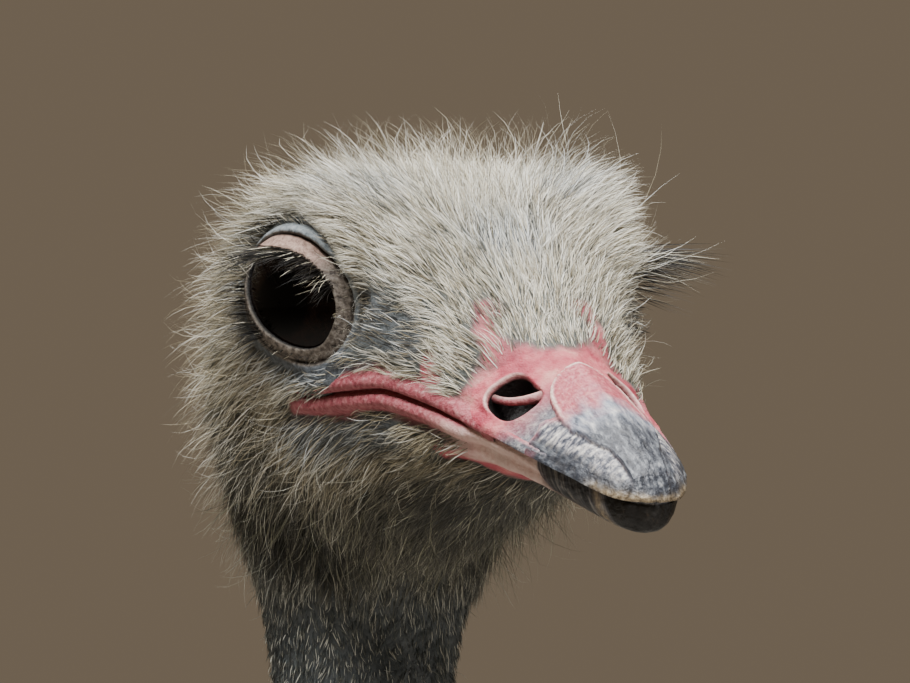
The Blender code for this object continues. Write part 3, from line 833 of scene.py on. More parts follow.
def skin_material():
    """Living bird skin: thin, creased and faintly moist, pink where blood shows and blue-grey where
    it doesn't. Its pores and creases break the gloss into small soft lights."""
    grains = {"broad": 7.0, "fine": 1.4, "pores": 0.6, "scales": 4.0}
    layers = [
        (None, "broad", {0.3: "#3f423f", 0.7: "#63665f"}),
        # throat under the jaw: olive skin, near black with painted shade beneath the jaw
        ("olive", "broad", {0.35: "#15160f", 0.7: "#25261a"}),
        ("neck", "broad", {0.35: "#3b4042", 0.7: "#5c6163"}),
        # skin under the plumes: near black, painted shade between the plumes
        ("shaded_skin_under_plumes", "broad", {0.3: "#050505", 0.7: "#0b0a0a"}),
        ("blue", "fine", {0.3: "#34383d", 0.7: "#6a7076"}),
        ("fold", "fine", {0.3: "#6c757b", 0.5: "#8b9396", 0.7: "#a5aaab"}),
        ("leg", "scales", {0.3: "#7d6157", 0.5: "#a08579", 0.72: "#b9a093"}),
        ("scute", "fine", {0.25: "#a06f62", 0.55: "#c19484", 0.8: "#d3b1a2"}),
        ("pink", "broad", {0.3: "#8c3340", 0.45: "#a84b55", 0.58: "#b96568", 0.75: "#c98f86"}),
        ("red", "fine", {0.25: "#74343c", 0.45: "#965158", 0.62: "#ab7073", 0.8: "#c09494"}),
        ("horn", "fine", {0.3: "#454850", 0.5: "#6a6a70", 0.7: "#9c9997"}),
        ("lid", "fine", {0.32: "#37312c", 0.5: "#6d645b", 0.72: "#928a80"}),
        ("beige", "fine", {0.32: "#7d665c", 0.5: "#a3887b", 0.7: "#b59b8d"}),
        # pale: the nostrils' pale rims, the lower lip's roll (its own whitish tone with painted light on it)
        # and a painted highlight on the top of each nostril's fold
        ("pale", "fine", {0.3: "#dcc0b4", 0.7: "#ecdacf"}),
        # dark: the dark brown of the lower bill by the mouth, and painted shade in the lids' creases and
        # along their edge, inside the nostrils, in the nostril folds and in the grooves between scutes
        ("dark", "fine", {0.3: "#0b0808", 0.7: "#161110"}),
        # ear: painted shade in the ear's hole
        ("ear", "fine", {0.3: "#12110d", 0.7: "#1e1b16"}),
    ]
    finish = {"Roughness": ("fine", 0.46, 0.66), "IOR": 1.4, "Specular IOR Level": 0.3}
    return make_material("bird_skin_creased", grains, layers, finish, {"fine": 0.5, "pores": 0.2})


def down_material(colours):
    """Hair-like down: bare-shafted feathers of matt keratin. Each strand has its own tone, darkened by
    painted shade at its root and pale at its worn tip, so that the coat looks loose and deep."""
    layers = [
        (None, "tone", {0.0: "#23241d", 0.16: "#57523f", 0.32: "#a5987a", 0.55: colours.pale,
                        0.9: colours.tips}),
        ("blue", "tone", {0.0: "#2d3338", 0.5: "#8d979e", 1.0: "#d3d7d8"}),
        ("lore", "tone", {0.0: "#12100c", 0.6: "#3a3429", 1.0: "#9c9074"}),
        # strands over the throat: olive, their dark stops partly painted shade beneath the jaw
        ("olive", "tone", {0.0: "#0f100b", 0.4: "#29291b", 0.75: "#5c5c44", 1.0: "#a9a78b"}),
        ("neck", "tone", {0.0: "#1f2629", 0.35: "#4d5656", 0.7: "#888b82", 1.0: "#c0c0b3"}),
        # root: painted shade toward the roots, deep in the coat
        ("root", "tone", {0.0: "#14140f", 1.0: "#201f17"}),
        ("tip", "tone", {0.0: "#6b6654", 0.5: "#c9c3ad", 1.0: "#f3f0e6"}),
    ]
    finish = {"Roughness": 0.6, "IOR": 1.5, "Sheen Weight": 0.1}
    return make_material("down_hairlike_keratin", {}, layers, finish)


def lash_material():
    """Lashes and rictal bristles: stiff bare quills, glossy black with worn pale points."""
    layers = [
        (None, "tone", {0.0: "#070605", 0.8: "#14110e", 0.9: "#8f8873", 1.0: "#c9c3ae"}),
        ("tip", "tone", {0.0: "#0d0c0a", 0.7: "#26221b", 1.0: "#ded8c6"}),
    ]
    finish = {"Roughness": 0.55, "IOR": 1.5, "Specular IOR Level": 0.25}
    return make_material("bristle_black_keratin", {}, layers, finish)


def plume_material(name, dark, middle, light, sheen):
    """Loose plumes without hooks between their barbs: soft and dull, with a dark shaft side, painted
    shade toward their roots, and barbs that catch the light one by one."""
    layers = [
        (None, "tone", {0.0: dark, 0.5: middle, 1.0: light}),
        # root: painted shade toward the roots, deep in the coat
        ("root", "tone", {0.0: dark, 1.0: middle}),
    ]
    finish = {"Roughness": 0.78, "IOR": 1.5, "Specular IOR Level": 0.25, "Sheen Weight": sheen}
    return make_material(name, {}, layers, finish)


def horn_material(colours):
    """The horn of the bill: grown in layers that flake along its length, so that it is streaked and
    blotched, half glossy where it is worn smooth."""
    grains = {"streaks": (1.6, 11.2, 2.56), "bands": (2.16, 1.2, 10.8), "fine": 1.1, "blotch": 5.5}
    layers = [
        (None, "streaks", {0.3: "#3f434c", 0.44: colours.horn, 0.58: "#9a9ba1", 0.72: "#cfccc6"}),
        ("side", "bands", {0.36: "#2b2f39", 0.46: "#63646c", 0.56: "#a09c9a", 0.70: "#d6d0c6"}),
        ("navy", "streaks", {0.3: "#17191f", 0.5: "#2d3037", 0.62: "#5d6167", 0.74: "#a4a4a3"}),
        ("flesh", "fine", {0.3: "#8e3947", 0.5: "#aa545d", 0.7: "#bf7877"}),
        ("rim", "fine", {0.3: "#4d4233", 0.55: "#8f7d61", 0.8: "#c3b496"}),
        ("black", "bands", {0.35: "#070605", 0.6: "#16120e", 0.75: "#463c31"}),
        ("edge", "fine", {0.3: "#d3b7a8", 0.7: "#eadfd2"}),
        # seam: a painted shadow line along the raised edge of the nail plate
        ("seam_shade", "fine", {0.3: "#1f191b", 0.7: "#453536"}),
    ]
    finish = {"Roughness": ("blotch", 0.34, 0.52), "IOR": 1.54, "Specular IOR Level": 0.32}
    return make_material("bill_horn_layered", grains, layers, finish, {"streaks": 0.4, "fine": 0.3})


def claw_material():
    """Claw keratin: hard, dark and grown in rings, rubbed to a dull shine by the ground."""
    grains = {"rings": (18, 3, 18)}
    layers = [(None, "rings", {0.3: "#1d1a18", 0.55: "#38322d", 0.8: "#5b5149"})]
    finish = {"Roughness": 0.42, "IOR": 1.54}
    return make_material("claw_keratin", grains, layers, finish, {"rings": 0.4})


def eye_material(colours):
    """A wet cornea over a dark brown iris: almost black, with one small sharp light."""
    grains = {"fibres": 1.2}
    layers = [
        (None, "fibres", {0.3: "#050303", 0.7: colours.iris}),
        ("pupil", "fibres", {0.0: "#010101", 1.0: "#020202"}),
    ]
    finish = {"Roughness": 0.06, "IOR": 1.36, "Specular IOR Level": 0.25}
    return make_material("eye_wet_cornea", grains, layers, finish)


def floor_material():
    """Painted plaster: flat, pale and very slightly uneven."""
    layers = [(None, "broad", {0.3: "#c9c4ba", 0.7: "#d2cdc4"})]
    return make_material("floor_painted_plaster", {"broad": 400.0}, layers, {"Roughness": 0.8})


# ---------------- the body

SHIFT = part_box("trunk")[0].y + 545 * MM  # the tables' zero along Y
UNDER_PLUMES = 42.0                      # depth of the plumage over the body's skin, in mm
# The trunk, in mm: along Y, top, bottom, half width, level of the widest point.
TRUNK = [
    (-545, 1250, 1170, 35, 1210),
    (-520, 1335, 1080, 110, 1210),
    (-445, 1412, 970, 182, 1200),
    (-300, 1462, 885, 238, 1185),
    (-120, 1490, 855, 268, 1180),
    (60, 1498, 865, 276, 1190),
    (220, 1475, 910, 262, 1200),
    (360, 1420, 980, 222, 1210),
    (460, 1350, 1050, 165, 1210),
    (520, 1270, 1130, 85, 1205),
]
# The tail, the same way.
TAIL = [
    (400, 1360, 1160, 70, 1260),
    (470, 1400, 1090, 130, 1260),
    (550, 1410, 1000, 165, 1230),
    (640, 1380, 910, 175, 1170),
    (720, 1310, 850, 155, 1100),
]
# A folded wing, the same way, with its inner and outer side.
WING = [
    (-360, 1300, 1190, 120, 215),
    (-320, 1360, 1100, 130, 262),
    (-220, 1400, 1020, 130, 302),
    (-80, 1415, 970, 130, 325),
    (80, 1405, 925, 130, 330),
    (230, 1370, 890, 120, 315),
    (350, 1310, 880, 110, 285),
    (440, 1230, 900, 90, 240),
]
HIP_OUT, TOE_OUT, LEG_TOP, LEG_BACK = 150.0, 135.0, 1150.0, 95.0
STRIDE = {"left": -35.0, "right": 35.0}
# A leg from the hip to the end of its middle toe, in mm: outward, along Y, height, half width, half
# depth, and how far its sections have turned from level to upright.
LEG = [
    (10, -75, 1150, 82, 130, 0),
    (12, -60, 1050, 92, 146, 0),
    (10, -32, 940, 92, 138, 0),
    (4, 6, 820, 77, 108, 0),
    (-2, 42, 710, 55, 72, 0),
    (-6, 72, 620, 38, 43, 0),
    (-9, 90, 560, 34, 38, 0),
    (-10, 100, 520, 36, 42, 0),
    (-10, 104, 490, 37, 44, 0),
    (-11, 98, 450, 31, 36, 0),
    (-12, 84, 370, 24, 28, 0),
    (-13, 66, 270, 21.5, 26, 0),
    (-14, 48, 170, 22.5, 27, 0),
    (-15, 36, 105, 26.5, 31, 0),
    (-15, 30, 78, 29, 34, 20),
    (-15, 16, 48, 33, 40, 48),
    (-15, -14, 27.2, 35, 31, 76),
    (-15, -50, 22.5, 33.5, 26.5, 90),
    (-15, -90, 20.2, 30, 24, 90),
    (-15, -125, 18.4, 26.5, 21.5, 90),
    (-15, -148, 16, 20, 17.5, 90),
]
ANKLE, FOOT = 8, 13         # rows of the ankle and of the foot of the shank
# The outer toe, in mm: outward, along Y, height, half width, half depth.
OUTER_TOE = [
    (10, 34, 33, 16, 20),
    (28, 14, 27, 19, 23),
    (42, -16, 19.6, 18.5, 20),
    (51, -45, 16.1, 16.5, 16.5),
    (56, -66, 13, 12, 12.5),
]
TOE_SPREAD = math.radians(22)
# The nail, in mm: along Y, height, half width, half depth.
NAIL = [
    (-136, 24, 16.5, 13),
    (-155, 22.5, 16, 12.5),
    (-178, 18.5, 13, 10.5),
    (-200, 12.5, 8, 7),
    (-213, 7.5, 3.2, 3.2),
]
PLATE = 13.0                # height of a scute on the shank, in mm
PLATE_STEPS = (0.02, 0.10, 0.35, 0.72, 0.94)
PLATE_RISE = (0.0, 0.75, 1.0, 0.95, 0.6)
# where painted shade lies in the groove between two scutes
PLATE_SEAM_SHADE = (1, 0, 0, 0, 0.4)
THIGH_RINGS = 90


def stations(table, count):
    """The columns of a table at an even number of stations from its first row to its last."""
    return between(table, np.linspace(0, len(table) - 1, count)).T


def rings(middles, half, above, below, columns, square, side=ACROSS, up=UP):
    """Closed rings of points, each round its own middle. Sizes are in mm, one for each ring."""
    turn = around(columns)[None, :]
    s, c = np.sin(turn), np.cos(turn)
    across = np.sign(s) * np.abs(s) ** (2 / square) * (half * MM)[:, None]
    tall = np.where(c > 0, (above * MM)[:, None], (below * MM)[:, None])
    rise = np.sign(c) * np.abs(c) ** (2 / square) * tall
    return (middles * MM)[:, None] + across[..., None] * side + rise[..., None] * up


def round_end(grid, bulge):
    """Adds rings that close a grid's last ring with a rounded end, bulge metres long."""
    way = unit(grid[-1].mean(axis=0) - grid[-2].mean(axis=0))
    middle = grid[-1].mean(axis=0)
    turns = np.radians([25, 48, 68, 82, 89.5])
    more = [middle + (grid[-1] - middle) * math.cos(t) + way * bulge * math.sin(t) for t in turns]
    return np.concatenate([grid, more])


def tube(grid, masks):
    """A surface through closed rings, with an unwrap along and around it."""
    run = run_along(grid.mean(axis=1))
    unwrap = together(np.arange(grid.shape[1]) / grid.shape[1], (run / run[-1])[:, None]).reshape(-1, 2)
    return surface_through(grid, masks, unwrap)


def shaded_skin_under_plumes(grid, bulge):
    """The skin under plumes, near black as painted shade between them, rounded off at both its ends."""
    return tube(round_end(round_end(grid, bulge)[::-1], bulge), {"shaded_skin_under_plumes": 1.0})


def plumed_body(table, depth, columns, squareness, ends):
    """The bare shape under one part's plumes: the part's own shape, less the plumes' depth."""
    along, top, bottom, half, level = stations(table, 44)
    along = along[0] + depth * ends + (along - along[0]) * (1 - 1.6 * depth * ends / np.ptp(along))
    half = np.maximum(half - depth, 0.3 * half)
    above = np.maximum(top - level - depth, 0.3 * (top - level))
    below = np.maximum(level - bottom - 0.7 * depth, 0.3 * (level - bottom))
    middles = together(0, along + SHIFT / MM, level)
    return shaded_skin_under_plumes(rings(middles, half, above, below, columns, squareness), 0.02)


@functools.cache
def trunk_skin():
    """The trunk under its plumes."""
    return plumed_body(TRUNK, UNDER_PLUMES, 72, 2.15, 1.0)


@functools.cache
def tail_skin():
    """The root of the tail under its plumes."""
    return plumed_body(TAIL, 0.8 * UNDER_PLUMES, 48, 2.2, 2.2)


@functools.cache
def wing_skin(side):
    """A folded wing under its plumes."""
    along, top, bottom, inner, outer = stations(WING, 40)
    outer = outer - 0.75 * UNDER_PLUMES
    tall = np.maximum((top - bottom) / 2 - UNDER_PLUMES, 18)
    middles = together(side * (inner + outer) / 2, along + SHIFT / MM, (top + bottom) / 2)
    return shaded_skin_under_plumes(rings(middles, (outer - inner) / 2, tall, tall, 40, 2.4), 0.015)


def leg_lines(name, rows):
    """The middle line of a leg's rows, in mm."""
    out, along, height = rows[:, 0], rows[:, 1], rows[:, 2]
    drop = np.clip((LEG_TOP - height) / LEG_TOP, 0, 1 - LEG[FOOT][2] / LEG_TOP)
    x = HIP_OUT + (TOE_OUT - HIP_OUT) * np.minimum(1, (LEG_TOP - height) * MM) + out
    y = along + LEG_BACK + STRIDE[name] * drop
    return together(SIDES[name] * x, y + SHIFT / MM, height)


def toe_middles(name, out, along, height):
    """The middle line of a toe or a nail, in mm, from its place at the foot."""
    foot = leg_lines(name, np.array([LEG[FOOT]], float))[0] - np.array([0, LEG[FOOT][1], LEG[FOOT][2]])
    return foot + together(SIDES[name] * out, along, height)


def front_of(columns):
    """1 on the front of a leg or the top of a toe, where its scutes lie."""
    return smooth(0.25, 0.55, np.cos(around(columns)))[None, :]


def grow_out(grid, relief):
    """Moves the points of rings away from their middles, by a relief in mm."""
    return grid + unit(grid - grid.mean(axis=1, keepdims=True)) * (relief * MM)[..., None]


def foot_end(grid, bulge, masks=None):
    """Closes a toe's or a nail's rings with a rounded end and lays them on the floor."""
    closed = round_end(grid, bulge)
    closed[..., 2] = np.maximum(closed[..., 2], 0.0)
    ends = ((0, len(closed) - len(grid)), (0, 0))
    padded = {name: np.pad(values, ends) for name, values in (masks or {}).items()}
    return tube(closed, padded | ({"leg": 1.0} if masks else {}))


def leg_skin(name):
    """A leg with its wrinkled thigh, the row of scutes down its front, and its middle toe."""
    fine = np.linspace(0, len(LEG) - 1, 3000)
    line = leg_lines(name, between(LEG, fine))
    run = run_along(line)
    ankle = np.interp(ANKLE, fine, run)
    count = round((run[-1] - ankle) / PLATE)
    pitch = (run[-1] - ankle) / count
    plates = (ankle + pitch * (np.arange(count)[:, None] + np.array(PLATE_STEPS))).ravel()
    thigh = np.linspace(0, ankle, THIGH_RINGS, endpoint=False)
    wanted = np.concatenate([thigh, plates, [run[-1] - 0.1]])
    rise, seam_shade = (
        np.pad(np.tile(steps, count), (THIGH_RINGS, 1))[:, None] for steps in (PLATE_RISE, PLATE_SEAM_SHADE)
    )
    rows = between(LEG, np.interp(wanted, run, fine))
    _, _, _, half, deep, turned_up = rows.T
    tilt = np.radians(turned_up)
    up = together(0, -np.cos(tilt), np.sin(tilt))[:, None]
    inset = np.where(wanted < ankle, 1.6, 1.3)
    grid = rings(leg_lines(name, rows), half - inset, deep - inset, deep - inset, 44, 2.1, up=up)
    front, scaled = front_of(44), smooth(ankle - 30, ankle + 60, wanted)[:, None]
    creases, pebbles = cloud(grid, 0.011, 41, np.array([1, 1, 2.4])), cloud(grid, 0.0035, 42)
    relief = 1.1 * rise * front * scaled + (1 - scaled) * 1.1 * creases + scaled * (1 - front) * 0.5 * pebbles
    # painted shade in the grooves between the scutes
    masks = {"scute": front * scaled * (rise > 0.1), "dark": 0.6 * front * scaled**2 * seam_shade}
    return foot_end(grow_out(grid, relief), 0.010, masks)


def outer_toe_skin(name):
    """An outer toe with the scutes on its top."""
    out, along, height, half, deep = stations(OUTER_TOE, 61)
    across = np.array([math.cos(TOE_SPREAD), SIDES[name] * math.sin(TOE_SPREAD), 0])
    middles = toe_middles(name, out, along, height)
    grid = rings(middles, half - 1.2, deep - 1.2, deep - 0.3, 40, 2.0, side=across)
    rise, seam_shade = (np.resize(steps, len(out))[:, None] for steps in (PLATE_RISE, (1, 0, 0, 0, 0)))
    front = front_of(40)
    relief = rise * front + 0.4 * cloud(grid, 0.0035, 43) * (1 - front)
    # painted shade in the grooves between the scutes
    masks = {"scute": front * (rise > 0.1), "dark": 0.75 * front * seam_shade}
    return foot_end(grow_out(grid, relief), 0.008, masks)


def claw_surface(name):
    """The heavy nail at the end of a middle toe, worn flat below."""
    along, height, half, deep = stations(NAIL, 60)
    grow = 0.25 * np.sin(along / 2.1) + 0.15 * np.sin(along / 0.9)
    middles = toe_middles(name, 0, along, height)
    return foot_end(rings(middles, half + grow, deep + grow, deep, 40, 2.2), 0.002)


def one_side(side, points):
    """The half of the trunk on one side."""
    return (points[:, 0] * side >= 0).astype(float)


def upper_wing(points):
    """The covert plumes lie over all of a wing but its lower edge behind."""
    return (1 - 0.85 * lower_wing(points)) * (1 + 1.5 * smooth(-0.12, -0.40, points[:, 1]))


def lower_wing(points):
    """The quill plumes hang from the wing's lower edge and its hind end."""
    _, y, z = points.T
    return smooth(1.10, 0.97, z - 0.28 * np.maximum(y - 0.05, 0)) * smooth(-0.25, 0.0, y)


def whole(points):
    """All of a surface alike."""
    return np.ones(len(points))


# ---------------- the horn of the bill

# Half width of the nail plate, in mm, by how far forward of the eyes it is.
NAIL_PLATE = [(73, 0), (73.6, 3.5), (75, 7.0), (77, 9.0), (80, 10.4), (88, 11.5), (95, 11.0), (104.5, 8.2),
              (108, 6.6), (113, 5.4), (117, 4.8), (121, 4.4)]
HORN_ROWS, HORN_COLUMNS, HORN_GAP = 132, 96, 0.35 * MM
HORN_TIP = 120.4            # mm forward of the eyes
PALE_RIM = 109.6            # the pale band across the lower tip, mm forward of the eyes
HORN_SUNK = -0.8            # mm: horn that lies deeper than this is left out


def bill_outline(row, upper, gap):
    """Half of one half of the bill in section, from the mouth line to its ridge, gap metres clear of
    the line: across, rise and distance from the line."""
    _, _, _, half, low_half, above, below, square, low_square, _ = row
    turn = np.linspace(0, math.pi / 2, 400)
    wide, tall, power = (half, above, 2 / square) if upper else (low_half, -below, 2 / low_square)
    across, rise = np.cos(turn) ** power * wide, np.sin(turn) ** power * tall
    arc = run_along(together(across, rise))
    places = np.linspace(min(gap, arc[-1] / 2), arc[-1], HORN_COLUMNS // 2 + 1)
    return np.interp(places, arc, across), np.interp(places, arc, rise), places


def horn_grid(upper, start):
    """Half of the bill's horn as a grid from start mm forward of the eyes to its tip, and each
    point's distance from the mouth line in mm."""
    bill = head_rows()[: len(BILL)][::-1]
    forward = (EYE_Y - bill[:, 0]) / MM
    wanted = start + (HORN_TIP - start) * (1 - (1 - np.linspace(0, 1, HORN_ROWS)) ** 1.25)
    stations = np.interp(np.minimum(wanted, forward[-1]), forward, np.arange(len(bill)))
    grid, arcs = [], []
    for f, row in zip(wanted, between(bill, stations)):
        across, rise, arc = bill_outline(row, upper, HORN_GAP)
        one = together(across, EYE_Y - f * MM, row[1] + rise)
        grid.append(np.concatenate([one, one[-2::-1] * np.array([-1, 1, 1])]))
        arcs.append(np.concatenate([arc, arc[-2::-1]]))
    return np.array(grid), np.array(arcs) / MM


def raised(grid, lift):
    """A grid on a half of the bill, raised from it by a lift in mm."""
    normal = grid_normals(grid, False)
    outward = grid - grid.mean(axis=1, keepdims=True)
    normal *= np.sign((normal * outward).sum(axis=-1, keepdims=True))
    return grid + normal * (lift * MM)[..., None]


def horn_plate(grid, lift, masks):
    """The horn through a raised grid, closed at its tip. What doesn't rise out of the skin is left
    out."""
    middle = grid[-1].mean(axis=0)
    grid = np.concatenate([grid, [middle + (grid[-1] - middle) * 0.02 - np.array([0, 0.4 * MM, 0])]])
    masks = {name: np.concatenate([values, values[-1:]]) for name, values in masks.items()}
    made = surface_through(grid, masks, np.zeros((len(grid) * grid.shape[1], 2)), False)
    shown = np.concatenate([lift, lift[-1:]]).ravel() > HORN_SUNK
    return made | {"quads": made["quads"][shown[made["quads"]].any(axis=1)]}


def upper_horn():
    """The horny plates of the upper half: the long nail plate on top and the plates at its sides."""
    grid, arc = horn_grid(True, 71.0)
    place = head_place(grid)
    f, l, u = np.moveaxis(place, -1, 0)
    spots = grid / MM
    rough = cloud(spots, 3.0, 61)
    patches = cloud(spots, 3.2, 63, np.array([1, 0.5, 1]))
    inward = np.interp(f, *np.array(NAIL_PLATE, float).T) + 0.25 * rough - l
    inward = np.minimum(inward, (f - 73.2) * 1.2)
    plate = smooth(-0.3, 0.3, inward)
    sides = smooth(-1.0, 3.0, f + 1.5 * rough - 84 - 0.25 * np.maximum(-u - 34, 0))
    before_tip = 1 - smooth(113, 119, f)
    lift = np.maximum(-0.9 + 1.2 * sides, -0.9 + 1.6 * plate)
    lift = lift + (0.22 * hump(0.4, 0.5, inward) - 0.25 * hump(-0.45, 0.35, inward) * sides) * before_tip
    lift = lift + 0.10 * cloud(spots, 0.9, 62, np.array([1, 0.3, 1])) + 0.16 * hump(1.0, 0.8, arc) * sides
    grid = raised(grid, lift)
    far_side = np.abs(grid[..., 0] / MM - 4.0 + 0.8 * patches)
    navy = [
        smooth(-0.9, -0.1, patches + 1.6 * smooth(97, 107, f)) * smooth(93, 103, f) * plate,
        smooth(8.0, 3.5, arc + 1.2 * patches) * sides * (1 - plate),
        smooth(98, 105, f + rough) * smooth(6.5, 3.8, far_side),
    ]
    masks = {
        "side": sides * (1 - plate),
        "flesh": plate * smooth(96, 85, f + 4 * rough) + (1 - plate) * smooth(90, 80, f + 3 * rough),
        "navy": 0.95 * np.maximum.reduce(navy),
        "rim": 0.85 * hump(0.9, 1.2, arc + 0.5 * rough) * smooth(106, 115, f),
        "edge": 0.85 * hump(0.75, 0.35, inward) * smooth(94, 82, f),
        # painted shadow line where the nail plate's raised edge steps down
        "seam_shade": 0.75 * hump(-0.1, 0.22, inward) * before_tip,
    }
    return horn_plate(grid, lift, masks)


def lower_horn():
    """The horny tip of the lower half, banded and dark at its end."""
    grid, _ = horn_grid(False, 84.0)
    f, l, _ = np.moveaxis(head_place(grid), -1, 0)
    spots = grid / MM
    rough = cloud(spots, 3.0, 64)
    lift = -0.9 + 1.2 * smooth(-1.0, 3.0, f + 2 * rough - 87) + 0.10 * cloud(spots, 0.9, 65)
    grid = raised(grid, lift)
    stripes = 0.72 + 0.22 * cloud(spots, 1.1, 67, np.array([0.3, 1, 0.3]))
    dark = stripes * smooth(87, 93, f + rough) * (1 - hump(PALE_RIM, 2.0, f))
    masks = {
        "side": np.ones_like(f),
        "flesh": 0.5 * smooth(92, 85, f + 3 * rough),
        "navy": 0.35 * smooth(-0.5, 0.2, cloud(spots, 2.0, 66, np.array([0.4, 1, 0.3]))),
        "rim": 0.75 * hump(PALE_RIM, 1.7, f + rough) * smooth(2.0, 5.0, l),
        "black": np.maximum(smooth(111.2, 113.0, f + rough), dark),
    }
    return horn_plate(grid, lift, masks)


# ---------------- strands and plumes

RIBBON = {3: (0.8, 1.0, 0.7), 4: (0.75, 1.0, 0.85, 0.5), 5: (0.8, 1.0, 0.95, 0.8, 0.5)}
TUFT_PATCH = 0.003          # size of a tuft's patch on the unwrap
ROOT_DEPTH = 0.3 * MM       # how far under the skin a strand starts


def ribbons(lines, flats, widths):
    """Tapered ribbons along lines, each facing its flat. Returns points, quads, triangles, and how
    far along its ribbon and on which side of it each point is."""
    count, stops = len(lines), lines.shape[1] - 1
    side = unit(np.cross(np.gradient(lines, axis=1), flats[:, None, :]))
    half = np.array(RIBBON[stops])[None, :, None] * widths[:, None, None] / 2
    left = lines[:, :-1] + side[:, :-1] * half
    right = lines[:, :-1] - side[:, :-1] * half
    sides = np.stack([left, right], axis=2).reshape(count, -1, 3)
    points = np.concatenate([sides, lines[:, -1:]], axis=1)
    first = (np.arange(count) * (2 * stops + 1))[:, None]
    step = np.arange(stops - 1) * 2
    quads = together(first + step, first + step + 1, first + step + 3, first + step + 2)
    last = 2 * (stops - 1)
    tips = np.concatenate([first + last, first + last + 1, first + last + 2], axis=1)
    along = np.concatenate([np.repeat(np.arange(stops) / stops, 2), [1.0]])
    across = np.concatenate([np.tile([-0.5, 0.5], stops), [0.0]])
    return points.reshape(-1, 3), quads.reshape(-1, 4), tips, along, across


def coat_piece(name, sheaves, material, slot):
    """One piece of down or plumage from sheaves of ribbons. A sheaf has lines, flats and widths, and
    for each ribbon its masks and the place of its root on the unwrap."""
    roots = np.concatenate([sheaf["unwrap"] for sheaf in sheaves])
    low, high = roots.min(axis=0), roots.max(axis=0)
    total, points, quads, tips, places, masks = 0, [], [], [], [], {}
    for sheaf in sheaves:
        made, four, three, along, across = ribbons(sheaf["lines"], sheaf["flats"], sheaf["widths"])
        count, each = len(sheaf["lines"]), len(along)
        points.append(made)
        quads.append(four + total)
        tips.append(three + total)
        total += len(made)
        shown = {key: np.repeat(values, each) for key, values in sheaf["masks"].items()}
        # painted shade toward the root of each strand or barb
        shown["root"] = np.tile(0.75 * smooth(0.42, 0.0, along), count)
        shown["tip"] = np.tile(0.55 * smooth(0.55, 1.0, along), count)
        for key, values in shown.items():
            masks.setdefault(key, []).append(values)
        at = 0.02 + 0.96 * (sheaf["unwrap"] - low) / (high - low)
        spread = TUFT_PATCH * np.tile(together(across, along - 0.5), (count, 1))
        places.append(np.repeat(at, each, axis=0) + spread)
    piece = add_mesh(name, np.concatenate(points), np.concatenate(quads), np.concatenate(tips))
    add_masks(piece, {key: np.concatenate(values) for key, values in masks.items()})
    add_unwrap(piece, np.concatenate(places))
    place_piece(piece, material, slot)


def place_piece(piece, material, slot, *replaced):
    """Gives a piece its material, its body and the solids it stands for. Its slot is not used."""
    piece.data.materials.append(material)
    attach(piece, "root")
    if replaced:
        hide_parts(*replaced)


class Sown:
    """Roots on a surface, more of them where the density of its points is higher, and how the
    strands that grow there lie. All of a sheaf's chances come from one generator, in one order."""

    def __init__(self, surface, density, count, rng):
        points, quads, unwrap = surface["points"], surface["quads"], surface["unwrap"]
        normal = face_normals(points, quads)
        weight = np.linalg.norm(normal, axis=1) * density[quads].mean(axis=1)
        smoothed = np.zeros_like(points)
        for corner in quads.T:
            np.add.at(smoothed, corner, normal)
        smoothed = unit(smoothed)
        picked = rng.choice(len(quads), count, p=weight / weight.sum())
        s, t = rng.random(count), rng.random(count)
        shares = together((1 - s) * (1 - t), s * (1 - t), s * t, (1 - s) * t)
        face = quads[picked]

        def blend(values):
            return np.einsum("nk,nk...->n...", shares, values)

        places = unwrap[face]
        u = places[..., 0]
        u += (np.ptp(u, axis=1, keepdims=True) > 0.5) & (u < 0.5)
        self.count, self.rng = count, rng
        self.roots, self.normals = blend(points[face]), unit(blend(smoothed[face]))
        self.masks = {name: blend(values[face]) for name, values in surface["masks"].items()}
        self.unwrap = blend(places)
        self.ways = None

    def lie(self, ways, spread, wander=0.0):
        """Lays the strands along the skin, each turned from its way by chance and by a wander."""
        flat = unit(ways - self.normals * (ways * self.normals).sum(axis=-1, keepdims=True))
        self.ways = turned(flat, self.normals, wander + self.rng.normal(0, spread, self.count))

    def lines(self, lengths, lifts, bends, droop, steps, rise=0.0):
        """The strands' lines, which start at a rise over the skin, in metres."""
        start = self.roots + self.normals * rise
        return strand_lines(start, self.normals, self.ways, lengths, lifts, bends, droop, steps)

    def sheaf(self, lines, twist, low, high, **masks):
        """A sheaf of ribbons twisted by chance, and as wide as chance between two widths in metres."""
        flats = turned(self.normals, self.ways, self.rng.normal(0, twist, self.count))
        widths = self.rng.uniform(low, high, self.count)
        return {"lines": lines, "flats": flats, "widths": widths, "masks": masks, "unwrap": self.unwrap}


def turned(ways, normals, angles):
    """Directions along the skin, turned about its normals."""
    side = np.cross(normals, ways)
    return ways * np.cos(angles)[:, None] + side * np.sin(angles)[:, None]


def hang(normals):
    """Which way weight pulls a strand that can't go into the skin."""
    return normals * np.maximum(normals[:, 2:], 0) - UP


def strand_lines(roots, normals, ways, lengths, lifts, bends, droop, steps):
    """Lines of steps + 1 points that leave the skin at their lift, bend back along it, curl
    sideways by their bends and hang by the droop."""
    side = np.cross(normals, ways)
    lines = [roots - normals * ROOT_DEPTH]
    reach = (lengths / steps)[:, None]
    for k in range(steps):
        t = (k + 0.5) / steps
        angle, swing = (lifts * (1.35 - 0.9 * t))[:, None], (bends * (t - 0.25))[:, None]
        along = ways * np.cos(swing) + side * np.sin(swing)
        way = along * np.cos(angle) + normals * np.sin(angle) + droop * t * hang(normals)
        lines.append(lines[-1] + unit(way) * reach)
    return np.stack(lines, axis=1)


